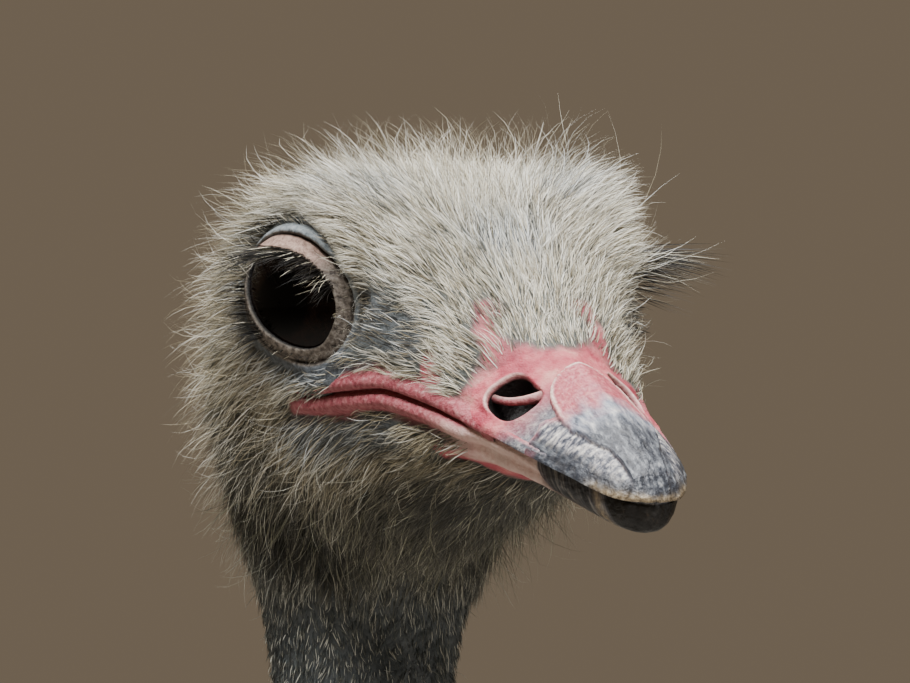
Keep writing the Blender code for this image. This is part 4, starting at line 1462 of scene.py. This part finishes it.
def gather(lines, roots, every, hold, rng):
    """Draws strands together toward their tips, into tufts of about every strands."""
    leaders = rng.choice(len(roots), max(1, len(roots) // every), replace=False)
    tree = KDTree(len(leaders))
    for number, leader in enumerate(leaders):
        tree.insert(roots[leader], number)
    tree.balance()
    nearest = leaders[[tree.find(root)[1] for root in roots]]
    held = (hold * rng.random(len(roots)))[:, None, None]
    return lines + (lines[nearest] - lines) * held * np.linspace(0, 1, lines.shape[1])[:, None] ** 1.5


# ---------------- the down of the head and neck

# Where the down of the head lies and how: a place in mm from the middle of the line between the
# eyes (forward, outward, up), the way it points there, its length in mm and its lift in degrees.
LIE = [
    (57, 0, -7, -1, 0, 0.7, 6, 14),
    (44, 0, 4, -1, 0, 0.75, 9, 17),
    (30, 0, 15, -1, 0, 0.6, 12, 18),
    (12, 0, 26, -1, 0, 0.3, 14, 22),
    (-8, 0, 30, -1, 0, 0.05, 15, 30),
    (-30, 0, 29, -1, 0, -0.25, 14, 30),
    (-60, 0, 12, -0.7, 0, -0.8, 12, 22),
    (-85, 0, -20, -0.35, 0, -1, 12, 22),
    (-92, 0, -60, -0.05, 0, -1, 9, 22),
    (46, 14, -1, -1, 0.35, 0.6, 9, 15),
    (28, 20, 14, -0.85, 0.6, 0.5, 12, 18),
    (8, 28, 25, -0.7, 0.75, 0.4, 15, 27),
    (14, 40, 12, -0.6, 0.8, 0.3, 12, 34),
    (-10, 34, 26, -0.75, 0.75, 0.1, 16, 38),
    (-28, 36, 22, -0.9, 0.5, -0.1, 16, 36),
    (-50, 30, 10, -0.8, 0.35, -0.5, 13, 24),
    (42, 28, -8, -1, 0.3, 0.3, 8, 14),
    (24, 33, -2, -1, 0.3, 0.15, 6, 16),
    (-30, 44, 4, -1, 0.25, -0.25, 13, 32),
    (-50, 38, -12, -0.8, 0, -0.8, 13, 24),
    (-70, 22, -40, -0.4, 0, -1, 12, 20),
    (10, 40, -20, -1, 0.1, -0.1, 6, 12),
    (-14, 44, -26, -0.9, 0.1, -0.45, 12, 18),
    (-30, 42, -44, -0.6, 0.1, -1, 15, 20),
    (-55, 30, -62, -0.25, 0, -1, 13, 18),
    (30, 30, -36, -1, 0.15, -0.2, 8, 12),
    (12, 36, -44, -0.8, 0.1, -0.7, 13, 18),
    (40, 18, -48, -0.9, 0.2, -0.35, 11, 18),
    (20, 10, -52, -0.85, 0.25, -0.5, 16, 20),
    (-5, 10, -60, -0.5, 0.1, -1, 17, 18),
    (0, 30, -56, -0.6, 0.1, -0.9, 16, 18),
    (-28, 18, -75, -0.2, 0, -1, 14, 16),
    (-40, 0, -73, -0.1, 0, -1, 6.0, 18),
    (-66, 22, -74, -0.05, 0, -1, 5.0, 20),
]
# On the neck it points straight down: a place, its length and its lift.
NECK_LIE = [
    (-89, 0, -78, 6.0, 24), (-43, 0, -82, 3.4, 26), (-66, 23, -82, 3.2, 28), (-52, 18, -82, 3.2, 28),
    (-89, 0, -90, 4.0, 28), (-43, 0, -94, 3.2, 28), (-66, 23, -94, 3.2, 28), (-89, 0, -104, 4.0, 28),
    (-66, 23, -180, 3.8, 26), (-43, 0, -180, 3.8, 26), (-89, 0, -180, 3.8, 26),
]
LIE += [(*place, 0, 0, -1, length, lift) for *place, length, lift in NECK_LIE]


def lie_of_down(points):
    """For points on the head or the neck: the way that the down points, its length in metres and its
    lift in radians. Over the left eye it is ruffled, and stands out from the brow."""
    place = head_place(points)
    where, way, size = np.split(np.array(LIE, float), [3, 6], axis=1)
    share = 1 / (((place[:, None, :] - where[None]) ** 2).sum(axis=-1) + 30.0) ** 2
    share /= share.sum(axis=1, keepdims=True)
    side = np.clip(points[:, 0] / (6 * MM), -1, 1)
    ruffled = (side > 0) * spot(place, (12, 36, 15), (26, 13, 22))
    f, l, u = (share @ unit(way)).T + np.array([[0.45], [0.55], [0.05]]) * ruffled
    length, lift = (share @ size).T * np.stack([1 + 0.85 * ruffled, 1 + 0.45 * ruffled])
    return unit(together(side * l, -f, u)), length * MM, np.radians(lift)


def lore_share(place):
    """1 between an eye and the bill, where dark bristles stand on bluish skin."""
    return segment_spot(place, (21, 38, -3), (41, 32, -8), 7.5)


def down_density(masks, place):
    """How dense the down is on the head: none on bare skin, sparse under the eye and at the jaw."""
    sparse = [
        0.88 * np.clip(spot(place, (15, 37, -15), (17, 12, 8)), 0, 1),
        0.62 * segment_spot(place, (34, 32, -34), (-8, 42, -34), 6.5),
        0.45 * masks["blue"],
        0.35 * masks["neck"],
        0.40 * masks["olive"],
        0.30 * smooth(-28, -46, place[:, 2]),
        0.62 * lore_share(place),
        np.clip(masks["bare"] + 1.02 * masks["pink"], 0, 1),
    ]
    return np.prod([1 - share for share in sparse], axis=0)


def head_share(place, points, part, side):
    """Which share of the down at a place belongs to one piece of the head's coat."""
    crown = smooth(-28, -22, place[:, 2] + 0.12 * place[:, 0]) * smooth(-62, -40, place[:, 2])
    share = crown if part == "crown" else (1 - crown) * smooth(-112, -96, place[:, 2])
    return share * one_side(side, points)


def eye_room(roots, ways, side):
    """The longest that strands may be, in metres, before they reach over the eye."""
    centre, along, up, axis = eye_frame(side)
    x, y, height = ((roots - centre) / MM @ way for way in (along, up, axis))
    out = np.hypot(x, y)
    turn = np.arctan2(y, x)
    lid = 5.0 + 3.2 * smooth(-0.15, 0.55, np.sin(turn + LID_TILT))
    room = out - lid_edge(turn) - lid
    inward = -((ways @ along) * x + (ways @ up) * y) / np.maximum(out, 1)
    near = (height > 0) & (inward > 0.10) & (room < 26)
    return np.where(near, np.maximum(room, 1.2) / np.maximum(inward, 0.15) * MM, 1.0)


def sow_down(part, side, count, rng, share=whole):
    """Roots of one piece of the head's down. share gives what part of the down there they are."""
    skin = head_skin()
    points = skin["points"]
    place = head_place(points)
    density = down_density(skin["masks"], place) * head_share(place, points, part, side) * share(place)
    return Sown(skin, density, count, rng)


def skin_tints(sown, **tints):
    """The colours that down takes from the skin under it, apart from the tints that are given."""
    taken = {key: sown.masks[key] for key in ("olive", "neck", "blue")}
    return taken | {"lore": np.zeros(sown.count)} | tints


def grow_down(part, name, count, seed, look, material):
    """Lays one piece of the head's hair-like down over the skin."""
    rng, side = np.random.default_rng(seed), SIDES[name]
    sown = sow_down(part, side, count, rng)
    roots, on_head = sown.roots, 1 - sown.masks["neck"]
    place = head_place(roots)
    f, _, u = place.T
    ways, lengths, lifts = lie_of_down(roots)
    sown.lie(ways, 0.15, cloud(roots, 0.008, seed) * 0.30 + cloud(roots, 0.0028, seed + 1) * 0.26)
    wisp = rng.random(count) < 0.10 * on_head
    lengths = lengths * rng.uniform(0.5, 1.2, count) * np.where(wisp, 1.3, 1.0) * look.length
    lifts = lifts * rng.uniform(0.45, 1.45, count) * np.where(wisp, 2.1, 1.0)
    bends = (rng.normal(0, 0.35, count) + cloud(roots, 0.005, seed + 2) * 0.6) * np.where(wisp, 3.0, 1.0)
    lengths = np.minimum(lengths, eye_room(roots, sown.ways, side))
    lines = gather(sown.lines(lengths, lifts, bends, 0.10, 4), roots, 7, np.where(wisp, 0.1, 0.8), rng)
    width = look.width * np.where(wisp, 0.5, 1.0) * (1 + 0.25 * smooth(-70, -95, u))
    sheaf = sown.sheaf(lines, 0.5, 0.6 * width, 1.3 * width)
    below = smooth(-14, -34, u) + 1.15 * smooth(-36, -50, u) * smooth(0, 26, f)
    shade = 0.34 * below * on_head + 0.50 * smooth(-8, -44, f)
    patchy = 0.20 * cloud(roots, 0.005, seed + 3) + 0.16 * cloud(roots, 0.0018, seed + 4)
    tone = (rng.beta(1.1, 1.05, count) + patchy) * (0.88 - shade)
    white = rng.random(count) < 0.08 + 0.12 * sown.masks["neck"]
    tone = np.where(white, rng.uniform(0.85, 1.0, count), tone)
    blue = sown.masks["blue"] * (rng.random(count) < 0.75)
    lore = np.maximum(lore_share(place), 0.7 * spot(place, (-24, 44, -8), (9, 12, 12)))
    lore = lore * (rng.random(count) < 0.8)
    sheaf["masks"] = skin_tints(sown, blue=blue, lore=lore, tone=np.clip(tone, 0, 1))
    sheaves = [sheaf, stray_down(part, side, 1300, seed + 7, look)]
    coat_piece("down_" + part + "_" + name, sheaves, material, "head_down")


def stray_down(part, side, count, seed, look):
    """Fine long strands that curl up out of the rest, so that the head's outline is soft."""
    def rear(place):
        return 0.2 + smooth(30, 0, place[:, 0]) * smooth(-80, -60, place[:, 2])

    rng = np.random.default_rng(seed)
    sown = sow_down(part, side, count, rng, rear)
    ways, lengths, _ = lie_of_down(sown.roots)
    sown.lie(ways, 0.6)
    lengths = lengths * rng.uniform(0.9, 1.7, count) * look.length
    lengths = np.minimum(lengths, eye_room(sown.roots, sown.ways, side))
    lifts = np.radians(rng.uniform(25, 75, count))
    lines = sown.lines(lengths, lifts, rng.normal(0, 1.5, count), 0.05, 5)
    tints = skin_tints(sown, tone=rng.uniform(0.3, 0.9, count))
    return sown.sheaf(lines, 1.0, 0.35 * look.width, 0.6 * look.width, **tints)


def grow_neck_down(name, top, bottom, count, seed, look, material):
    """The short stiff down of the neck between two heights, longer and darker toward the body."""
    rng = np.random.default_rng(seed)
    z = head_skin()["points"][:, 2]
    density = smooth(bottom, bottom + 0.004, z) * smooth(top, top - 0.012, z) * (z < EYE_Z - 0.09)
    sown = Sown(head_skin(), density, count, rng)
    _, y, z = sown.roots.T
    low = smooth(1.95, 1.45, z)
    sown.lie(together(0, 0.9 * smooth(1.55, 1.40, z), -1), 0.28)
    lengths = (3.4 + 18.6 * low**1.6) * MM * rng.uniform(0.6, 1.25, count) * look.length
    lifts = np.radians(26) * rng.uniform(0.5, 1.4, count)
    lines = sown.lines(lengths, lifts, rng.normal(0, 0.4, count), 0.1, 3)
    width = look.width * (1.25 + 1.8 * low)
    sheaf = sown.sheaf(lines, 0.5, 0.7 * width, 1.3 * width)
    tone = rng.beta(2.0, 1.6, count) * (1 - 0.9 * smooth(1.52, 1.38, z - 0.15 * (y + 0.45)))
    none = np.zeros(count)
    sheaf["masks"] = skin_tints(sown, neck=none + 1, olive=none, blue=none, tone=np.clip(tone, 0, 1))
    coat_piece(name, [sheaf], material, "neck_down")


# ---------------- lashes and bristles


# Groups of lashes and bristles round an eye: how many, the turns round the lids from the front upward
# that they stand between, how far out from the lids' edge, in mm, their length in mm at the front and
# at the rear, their way (forward, up, out), and the share of white ones.
LASHES = [
    (330, (14, 142), (0.1, 1.4), None, (0.12, -0.36, 0.86), 0.12),
    (170, (142, 235), (0.6, 2.4), (4.0, 7.0), (-0.45, -0.10, 0.55), 0.06),
    (90, (235, 350), (1.4, 3.4), (1.2, 2.2), (-0.20, -0.30, 0.50), 0.10),
    (80, (20, 150), (7.4, 8.6), (2.0, 3.5), (-0.40, 0.30, 0.45), 0.30),
]
LONGEST = {"left": (21.0, 29.0), "right": (15.0, 22.0)}  # the upper lid's lashes, the same way


def lid_places(side, turns, out):
    """Points on a lid, out mm beyond its edge."""
    edge, ball = lid_edge(turns), BALL_RADIUS / MM
    x, y = (edge + out) * np.cos(turns), (edge + out) * np.sin(turns)
    height = np.sqrt(ball**2 - edge**2)
    return from_frame(eye_frame(side), x, y, height - np.minimum(edge / height, 0.9) * out + 0.85)


def lash_sheaf(side, rng, count, between_turns, out, length, way, white):
    """One group of lashes or bristles."""
    turns = np.radians(rng.uniform(*between_turns, count))
    roots = lid_places(side, turns, rng.uniform(*out, count))
    rear = smooth(30, 150, np.degrees(turns))
    _, along, up, axis = eye_frame(side)
    ahead, rise, outward = way
    radial = np.cos(turns)[:, None] * along + np.sin(turns)[:, None] * up
    ways = outward * axis + (ahead - 0.35 * ahead * rear)[:, None] * along + rise * up + 0.15 * radial
    ways = unit(ways + rng.normal(0, 0.09, (count, 3)))
    normals = unit(np.cross(np.cross(ways, up), ways))
    lengths = (length[0] + (length[1] - length[0]) * rear) * MM * rng.uniform(0.7, 1.2, count)
    bends, lifts = rng.normal(0, 0.3, count), np.full(count, 0.1)
    lines = strand_lines(roots - ways * 0.0004, normals, ways, lengths, lifts, bends, 0.10, 4)
    tone = np.where(rng.random(count) < white, 1.0, rng.random(count) * 0.8)
    return {
        "lines": lines,
        "flats": turned(normals, ways, rng.normal(0, 0.8, count)),
        "widths": rng.uniform(0.15, 0.25, count) * MM,
        "masks": {"tone": tone},
        "unwrap": together(0.5 + 0.45 * side * turns / math.pi, 0.5 + 0.3 * rng.random(count)),
    }


def grow_lashes(name, seed, material):
    """The upper lid's long lashes and the short bristles round the rest of the eye."""
    rng = np.random.default_rng(seed)
    sheaves = [
        lash_sheaf(SIDES[name], rng, count, turns, out, length or LONGEST[name], way, white)
        for count, turns, out, length, way, white in LASHES
    ]
    coat_piece("lashes_" + name, sheaves, material, "head_down")


# ---------------- plumes

BARBS, SHAFT_STEPS = 18, 5   # barbs on each side of a plume's shaft, and the shaft's lengths
SOFT_EDGE = 0.035           # how far inside the outline the plumes begin to be pressed back


def hold_in(points):
    """Presses what would stand past the bird's own outline back toward it."""
    low, high = (np.array(corner) for corner in CAD_BOX)
    middle, inner = (low + high) / 2, (high - low) / 2 - SOFT_EDGE
    from_middle = np.abs(points - middle)
    give = 1.4 * SOFT_EDGE
    pressed = np.where(from_middle > inner, inner + give * np.tanh((from_middle - inner) / give), from_middle)
    return middle + np.sign(points - middle) * pressed


def barb_sheaf(hand, sown, shafts, flats, barb, droop, tone):
    """The barbs on one side of loose plumes, which hang from their shafts."""
    rng, count = sown.rng, sown.count * BARBS
    at = np.linspace(0.9, SHAFT_STEPS - 0.02, BARBS)
    first = np.minimum(at.astype(int), SHAFT_STEPS - 1)
    s = (at - first)[None, :, None]
    base = shafts[:, first] * (1 - s) + shafts[:, first + 1] * s
    run = unit(shafts[:, first + 1] - shafts[:, first])
    across = hand * unit(np.cross(run, flats[:, None, :]))
    jitter = rng.normal(0, 0.24, base.shape)
    curl = rng.normal(0, 0.42, base.shape) + across * 0.10
    way = unit(run * 1.0 + across * 0.42 + flats[:, None, :] * 0.20 + jitter)
    size = barb * (1.05 - 0.45 * (at / SHAFT_STEPS)[None, :] ** 2) * rng.uniform(0.6, 1.25, base.shape[:2])
    weight = hang(sown.normals)[:, None, :] * (droop + 0.3)
    lines = [base]
    for k in range(3):
        bent = unit(way + (run * 0.15 + curl) * k + weight * (0.15 + 0.42 * k))
        lines.append(lines[-1] + bent * (size / 3)[..., None])
    return {
        "lines": hold_in(np.stack(lines, axis=2).reshape(-1, 4, 3)),
        "flats": unit(np.repeat(flats, BARBS, axis=0) + rng.normal(0, 0.45, (count, 3))),
        "widths": rng.uniform(1.3, 2.7, count) * MM,
        "masks": {"tone": np.clip(np.repeat(tone, BARBS) + rng.normal(0, 0.14, count), 0, 1)},
        "unwrap": np.repeat(sown.unwrap, BARBS, axis=0),
    }


def close_coat(surface, density, lie, count, seed):
    """Short broad feathers that lie near the skin and close the coat under the loose plumes."""
    rng = np.random.default_rng(seed)
    sown = Sown(surface, density, count, rng)
    sown.lie(lie(sown.roots), 0.35)
    lengths, lifts = rng.uniform(0.045, 0.08, count), np.radians(rng.uniform(4, 14, count))
    lines = sown.lines(lengths, lifts, rng.normal(0, 0.5, count), 0.05, 3, rise=0.003)
    sheaf = sown.sheaf(hold_in(lines), 0.25, 5.0 * MM, 9.0 * MM)
    return sheaf | {"masks": {"tone": 0.5 * rng.random(count)}}


def grow_plumes(name, surface, plume, count, seed, material, slot):
    """One piece of loose plumage: shafts that arch over the skin, barbs at both their sides and a
    close coat below. plume gives where the plumes are chosen, the way they lie, their length and
    their barbs', their lift in degrees and how much they droop."""
    rng = np.random.default_rng(seed)
    density = plume["chosen"](surface["points"])
    sown = Sown(surface, density, count, rng)
    sown.lie(plume["lie"](sown.roots), 0.28)
    lengths = plume["length"] * rng.uniform(0.7, 1.15, count)
    lifts = np.radians(plume["lift"]) * rng.uniform(0.55, 1.35, count)
    tone = np.clip(rng.beta(1.6, 2.2, count) + 0.2 * cloud(sown.roots, 0.08, seed), 0, 1)
    bends, droop = rng.normal(0, 0.5, count), plume["droop"]
    shafts = sown.lines(lengths, lifts, bends, droop, SHAFT_STEPS, rise=-0.004)
    shaft = sown.sheaf(hold_in(shafts), 0.35, 1.2 * MM, 2.0 * MM, tone=0.35 * tone)
    barbs = [barb_sheaf(hand, sown, shafts, shaft["flats"], plume["barb"], droop, tone) for hand in (-1, 1)]
    under = close_coat(surface, density, plume["lie"], 3 * count, seed + 11)
    coat_piece(name, [shaft, *barbs, under], material, slot)


def lie_of_trunk(points):
    """Back from the breast, and down the flanks."""
    x, y, z = points.T
    flank = np.clip(np.abs(x) / 0.2, 0, 1)
    breast = smooth(-0.30, -0.56, y)
    back = np.where(z > 1.05, 1.0, 1.2) * (1 - 0.6 * breast)
    return together(np.sign(x) * 0.25 * flank, back, -0.30 - 0.55 * flank - 0.8 * breast)


def lie_of_wing(points):
    """Back along the folded wing, and down at its lower edge."""
    return together(0.12 * np.sign(points[:, 0]), 1.0, -0.25 - 0.95 * smooth(1.30, 1.00, points[:, 2]))


def lie_of_tail(points):
    """Back and down, in a bunch that spreads a little."""
    return together(1.2 * points[:, 0], 1.0, -0.85)


# ---------------- settings


def colour_setting(name, description, colour):
    """A colour that a user can change."""
    return FloatVectorProperty(
        name=name, description=description, default=linear(colour)[:3], subtype="COLOR", min=0.0, max=1.0
    )


def length_setting(name, description, default, least, most):
    """A length that a user can change."""
    return FloatProperty(
        name=name, description=description, default=default, min=least, max=most, unit="LENGTH", precision=5
    )


def count_setting(name, description, default):
    """A number of strands that a user can change, up to what one piece may hold."""
    return IntProperty(name=name, description=description, default=default, min=1000, max=28000)


class DownSettings(bpy.types.PropertyGroup):
    """The hair-like down of the head and neck."""

    length: FloatProperty(
        name="Length", description="Length of the down against a grown male's", default=1.0, min=0.3, max=2.0,
        subtype="FACTOR",
    )
    width: length_setting("Strand width", "Width of one strand", 0.21 * MM, 0.05 * MM, 1 * MM)
    crown_count: count_setting("Crown strands", "Strands on each half of the crown", 21500)
    cheek_count: count_setting("Cheek strands", "Strands on each half of the cheeks and throat", 20000)
    pale: colour_setting("Down", "Colour of most of the down", "#c6bfa8")
    tips: colour_setting("White down", "Colour of its palest strands", "#dfdcd0")


class PlumeSettings(bpy.types.PropertyGroup):
    """The plumes of the body."""

    length: length_setting("Body plumes", "Length of the plumes on the trunk", 0.16, 0.05, 0.3)
    quill_length: length_setting("Wing and tail plumes", "Length of the white plumes", 0.26, 0.1, 0.4)
    black: colour_setting("Body colour", "Colour of the body's plumes", "#1b191a")
    white: colour_setting("White plumes", "Colour of the wings' quill plumes", "#dcd7cc")


class SoftPartSettings(bpy.types.PropertyGroup):
    """Eyes and horn."""

    iris: colour_setting("Iris", "Colour of the iris", "#170c07")
    horn: colour_setting("Horn", "Colour of the bill's horn", "#747a87")


# ---------------- operators


class OSTRICH_OT_skin(bpy.types.Operator):
    """Build the one skin of the head, neck, body, legs and toes"""

    bl_idname = "ostrich.skin"
    bl_label = "Skin"

    def execute(self, context):
        parts = [head_skin(), trunk_skin(), tail_skin()]
        for name, side in SIDES.items():
            parts += [wing_skin(side), leg_skin(name), outer_toe_skin(name)]
        skin = join(parts)
        del skin["masks"]["bare"]
        nodes = ["head", "neck_upper", "neck_lower", "trunk", "tail"]
        limbs = ("wing_", "thigh_", "shank_", "middle_toe_", "outer_toe_")
        nodes += [part + side for side in SIDES for part in limbs]
        add_surface("skin", skin, skin_material(), "head_down", *nodes)
        return {"FINISHED"}


class OSTRICH_OT_horn(bpy.types.Operator):
    """Build the horny plates of the bill"""

    bl_idname = "ostrich.horn"
    bl_label = "Bill horn"

    def execute(self, context):
        material = horn_material(context.scene.ostrich_parts)
        for name, horn in (("upper_bill", upper_horn()), ("lower_bill", lower_horn())):
            add_surface("horn_" + name, horn, material, "bill_horn", name)
        return {"FINISHED"}


class OSTRICH_OT_eyes(bpy.types.Operator):
    """Build the eyeballs"""

    bl_idname = "ostrich.eyes"
    bl_label = "Eyes"

    def execute(self, context):
        material = eye_material(context.scene.ostrich_parts)
        for name, side in SIDES.items():
            add_surface("eyeball_" + name, eyeball(side), material, "eyeball", "eye_" + name)
        return {"FINISHED"}


class OSTRICH_OT_lashes(bpy.types.Operator):
    """Set the lashes and bristles round the eyes"""

    bl_idname = "ostrich.lashes"
    bl_label = "Lashes"

    def execute(self, context):
        material = lash_material()
        for number, name in enumerate(SIDES):
            grow_lashes(name, 70 + number, material)
        return {"FINISHED"}


class OSTRICH_OT_head_down(bpy.types.Operator):
    """Lay the down of the crown, cheeks, throat and neck"""

    bl_idname = "ostrich.head_down"
    bl_label = "Down"

    def execute(self, context):
        look = context.scene.ostrich_down
        material = down_material(look)
        for number, name in enumerate(SIDES):
            grow_down("crown", name, look.crown_count, 20 + 10 * number, look, material)
            grow_down("cheek", name, look.cheek_count, 25 + 10 * number, look, material)
        grow_neck_down("down_neck_upper", EYE_Z - 0.100, 1.72, 19000, 50, look, material)
        grow_neck_down("down_neck_lower", 1.73, 1.36, 17000, 51, look, material)
        return {"FINISHED"}


class OSTRICH_OT_body_plumes(bpy.types.Operator):
    """Cover the trunk and the folded wings with black plumes"""

    bl_idname = "ostrich.body_plumes"
    bl_label = "Body plumes"

    def execute(self, context):
        look = context.scene.ostrich_plumes
        material = plume_material("plumes_black_loose", "#080708", look.black, "#242121", 0.05)
        trunk = {"lie": lie_of_trunk, "length": look.length, "lift": 22, "barb": 0.085, "droop": 0.45}
        wing = trunk | {"chosen": upper_wing, "lie": lie_of_wing, "lift": 20}
        for number, (name, side) in enumerate(SIDES.items()):
            half = trunk | {"chosen": functools.partial(one_side, side)}
            trunk_piece, wing_piece = "plumes_trunk_" + name, "plumes_wing_" + name
            grow_plumes(trunk_piece, trunk_skin(), half, 690, 80 + number, material, "body_plumes")
            grow_plumes(wing_piece, wing_skin(side), wing, 560, 84 + number, material, "body_plumes")
        return {"FINISHED"}


class OSTRICH_OT_quill_plumes(bpy.types.Operator):
    """Hang the white plumes of the wings and the tail"""

    bl_idname = "ostrich.quill_plumes"
    bl_label = "Wing and tail plumes"

    def execute(self, context):
        look = context.scene.ostrich_plumes
        white = plume_material("plumes_white_loose", "#8f887c", look.white, "#f0ede6", 0.3)
        wing = {"chosen": lower_wing, "lie": lie_of_wing, "length": look.quill_length, "lift": 13}
        wing |= {"barb": 0.11, "droop": 0.65}
        for number, (name, side) in enumerate(SIDES.items()):
            grow_plumes("quills_wing_" + name, wing_skin(side), wing, 270, 88 + number, white, "wing_plumes")
        pale = plume_material("plumes_tail_loose", "#6f6252", "#c4b8a4", "#e9e3d6", 0.3)
        tail = {"chosen": whole, "lie": lie_of_tail, "length": 0.75 * look.quill_length, "lift": 18}
        tail |= {"barb": 0.11, "droop": 0.6}
        grow_plumes("quills_tail", tail_skin(), tail, 560, 90, pale, "tail_plumes")
        return {"FINISHED"}


class OSTRICH_OT_claws(bpy.types.Operator):
    """Build the nails of the middle toes"""

    bl_idname = "ostrich.claws"
    bl_label = "Claws"

    def execute(self, context):
        material = claw_material()
        for name in SIDES:
            add_surface("claw_" + name, claw_surface(name), material, "nail_horn", "nail_" + name)
        return {"FINISHED"}


FLOOR_SIZE = 60.0
LAMPS = [
    ("key", (-1.2, -2.2, 5.2), (0, -0.6, 2.2), 1.4, 235.0),
    ("top", (0.4, -0.4, 5.6), (0, -0.3, 1.8), 2.2, 260.0),
    ("fill", (3.2, -3.0, 2.4), (0, -0.2, 1.4), 2.0, 22.0),
]
# The camera looks from in front and to the bird's right: degrees from straight ahead, distance, width
# of what it sees there, and how far its aim is from between the eyes, to the right and down.
VIEW_TURN, VIEW_DISTANCE, VIEW_WIDTH, VIEW_RIGHT, VIEW_DOWN = -23.1, 2.5, 0.2333, -0.0018, 0.00987


class OSTRICH_OT_stage(bpy.types.Operator):
    """Set the floor, the light and the camera"""

    bl_idname = "ostrich.stage"
    bl_label = "Stage"

    def execute(self, context):
        bpy.ops.mesh.primitive_plane_add(size=FLOOR_SIZE, location=(0, 0, 0))
        floor = context.object
        floor.name = "floor"
        floor.data.materials.append(floor_material())
        world = bpy.data.worlds.new("studio")
        world.use_nodes = True
        background = world.node_tree.nodes["Background"].inputs
        background["Color"].default_value = linear("#94846f")
        background["Strength"].default_value = 0.54
        context.scene.world = world
        for name, place, aim, size, power in LAMPS:
            light = bpy.data.lights.new(name, "AREA")
            light.size = size
            light.energy = power
            point_at(bpy.data.objects.new(name, light), Vector(place), Vector(aim))
        add_camera()
        return {"FINISHED"}


def point_at(thing, place, aim):
    """Links a lamp or camera to the scene, at a place and looking at its aim."""
    thing.location = place
    thing.rotation_mode = "QUATERNION"
    thing.rotation_quaternion = (aim - place).to_track_quat("-Z", "Y")
    bpy.context.scene.collection.objects.link(thing)


def add_camera():
    """Sets the camera on the head."""
    turn = math.radians(VIEW_TURN)
    right = Vector((math.cos(turn), math.sin(turn), 0))
    back = Vector((math.sin(turn), -math.cos(turn), 0))
    aim = Vector((0, EYE_Y, EYE_Z - VIEW_DOWN)) + right * VIEW_RIGHT
    camera = bpy.data.cameras.new("camera")
    camera.sensor_width = 36
    camera.lens = camera.sensor_width * VIEW_DISTANCE / VIEW_WIDTH
    camera.clip_end = 300
    holder = bpy.data.objects.new("camera", camera)
    point_at(holder, aim + back * VIEW_DISTANCE, aim)
    bpy.context.scene.camera = holder


class OSTRICH_PT_panel(bpy.types.Panel):
    """The pieces of the ostrich and their settings"""

    bl_label = "Ostrich"
    bl_idname = "OSTRICH_PT_panel"
    bl_space_type = "VIEW_3D"
    bl_region_type = "UI"
    bl_category = "Ostrich"

    def draw(self, context):
        for group in GROUPS:
            settings = getattr(context.scene, group)
            for name in settings.bl_rna.properties.keys():
                if name not in ("name", "rna_type"):
                    self.layout.prop(settings, name)
        for operator in OPERATORS:
            self.layout.operator(operator.bl_idname)


GROUPS = {"ostrich_down": DownSettings, "ostrich_plumes": PlumeSettings, "ostrich_parts": SoftPartSettings}
OPERATORS = [
    OSTRICH_OT_skin, OSTRICH_OT_horn, OSTRICH_OT_eyes, OSTRICH_OT_lashes, OSTRICH_OT_head_down,
    OSTRICH_OT_body_plumes, OSTRICH_OT_quill_plumes, OSTRICH_OT_claws, OSTRICH_OT_stage,
]


def register():
    """Makes the settings, the operators and the panel known to Blender."""
    for group in (*GROUPS.values(), *OPERATORS, OSTRICH_PT_panel):
        bpy.utils.register_class(group)
    for name, group in GROUPS.items():
        setattr(bpy.types.Scene, name, bpy.props.PointerProperty(type=group))


def unregister():
    """Takes them out again."""
    for name in GROUPS:
        delattr(bpy.types.Scene, name)
    for group in (OSTRICH_PT_panel, *OPERATORS[::-1], *GROUPS.values()):
        bpy.utils.unregister_class(group)


def main():
    """Builds every piece."""
    register()
    for operator in OPERATORS:
        module, name = operator.bl_idname.split(".")
        getattr(getattr(bpy.ops, module), name)()


if __name__ == "__main__":
    main()
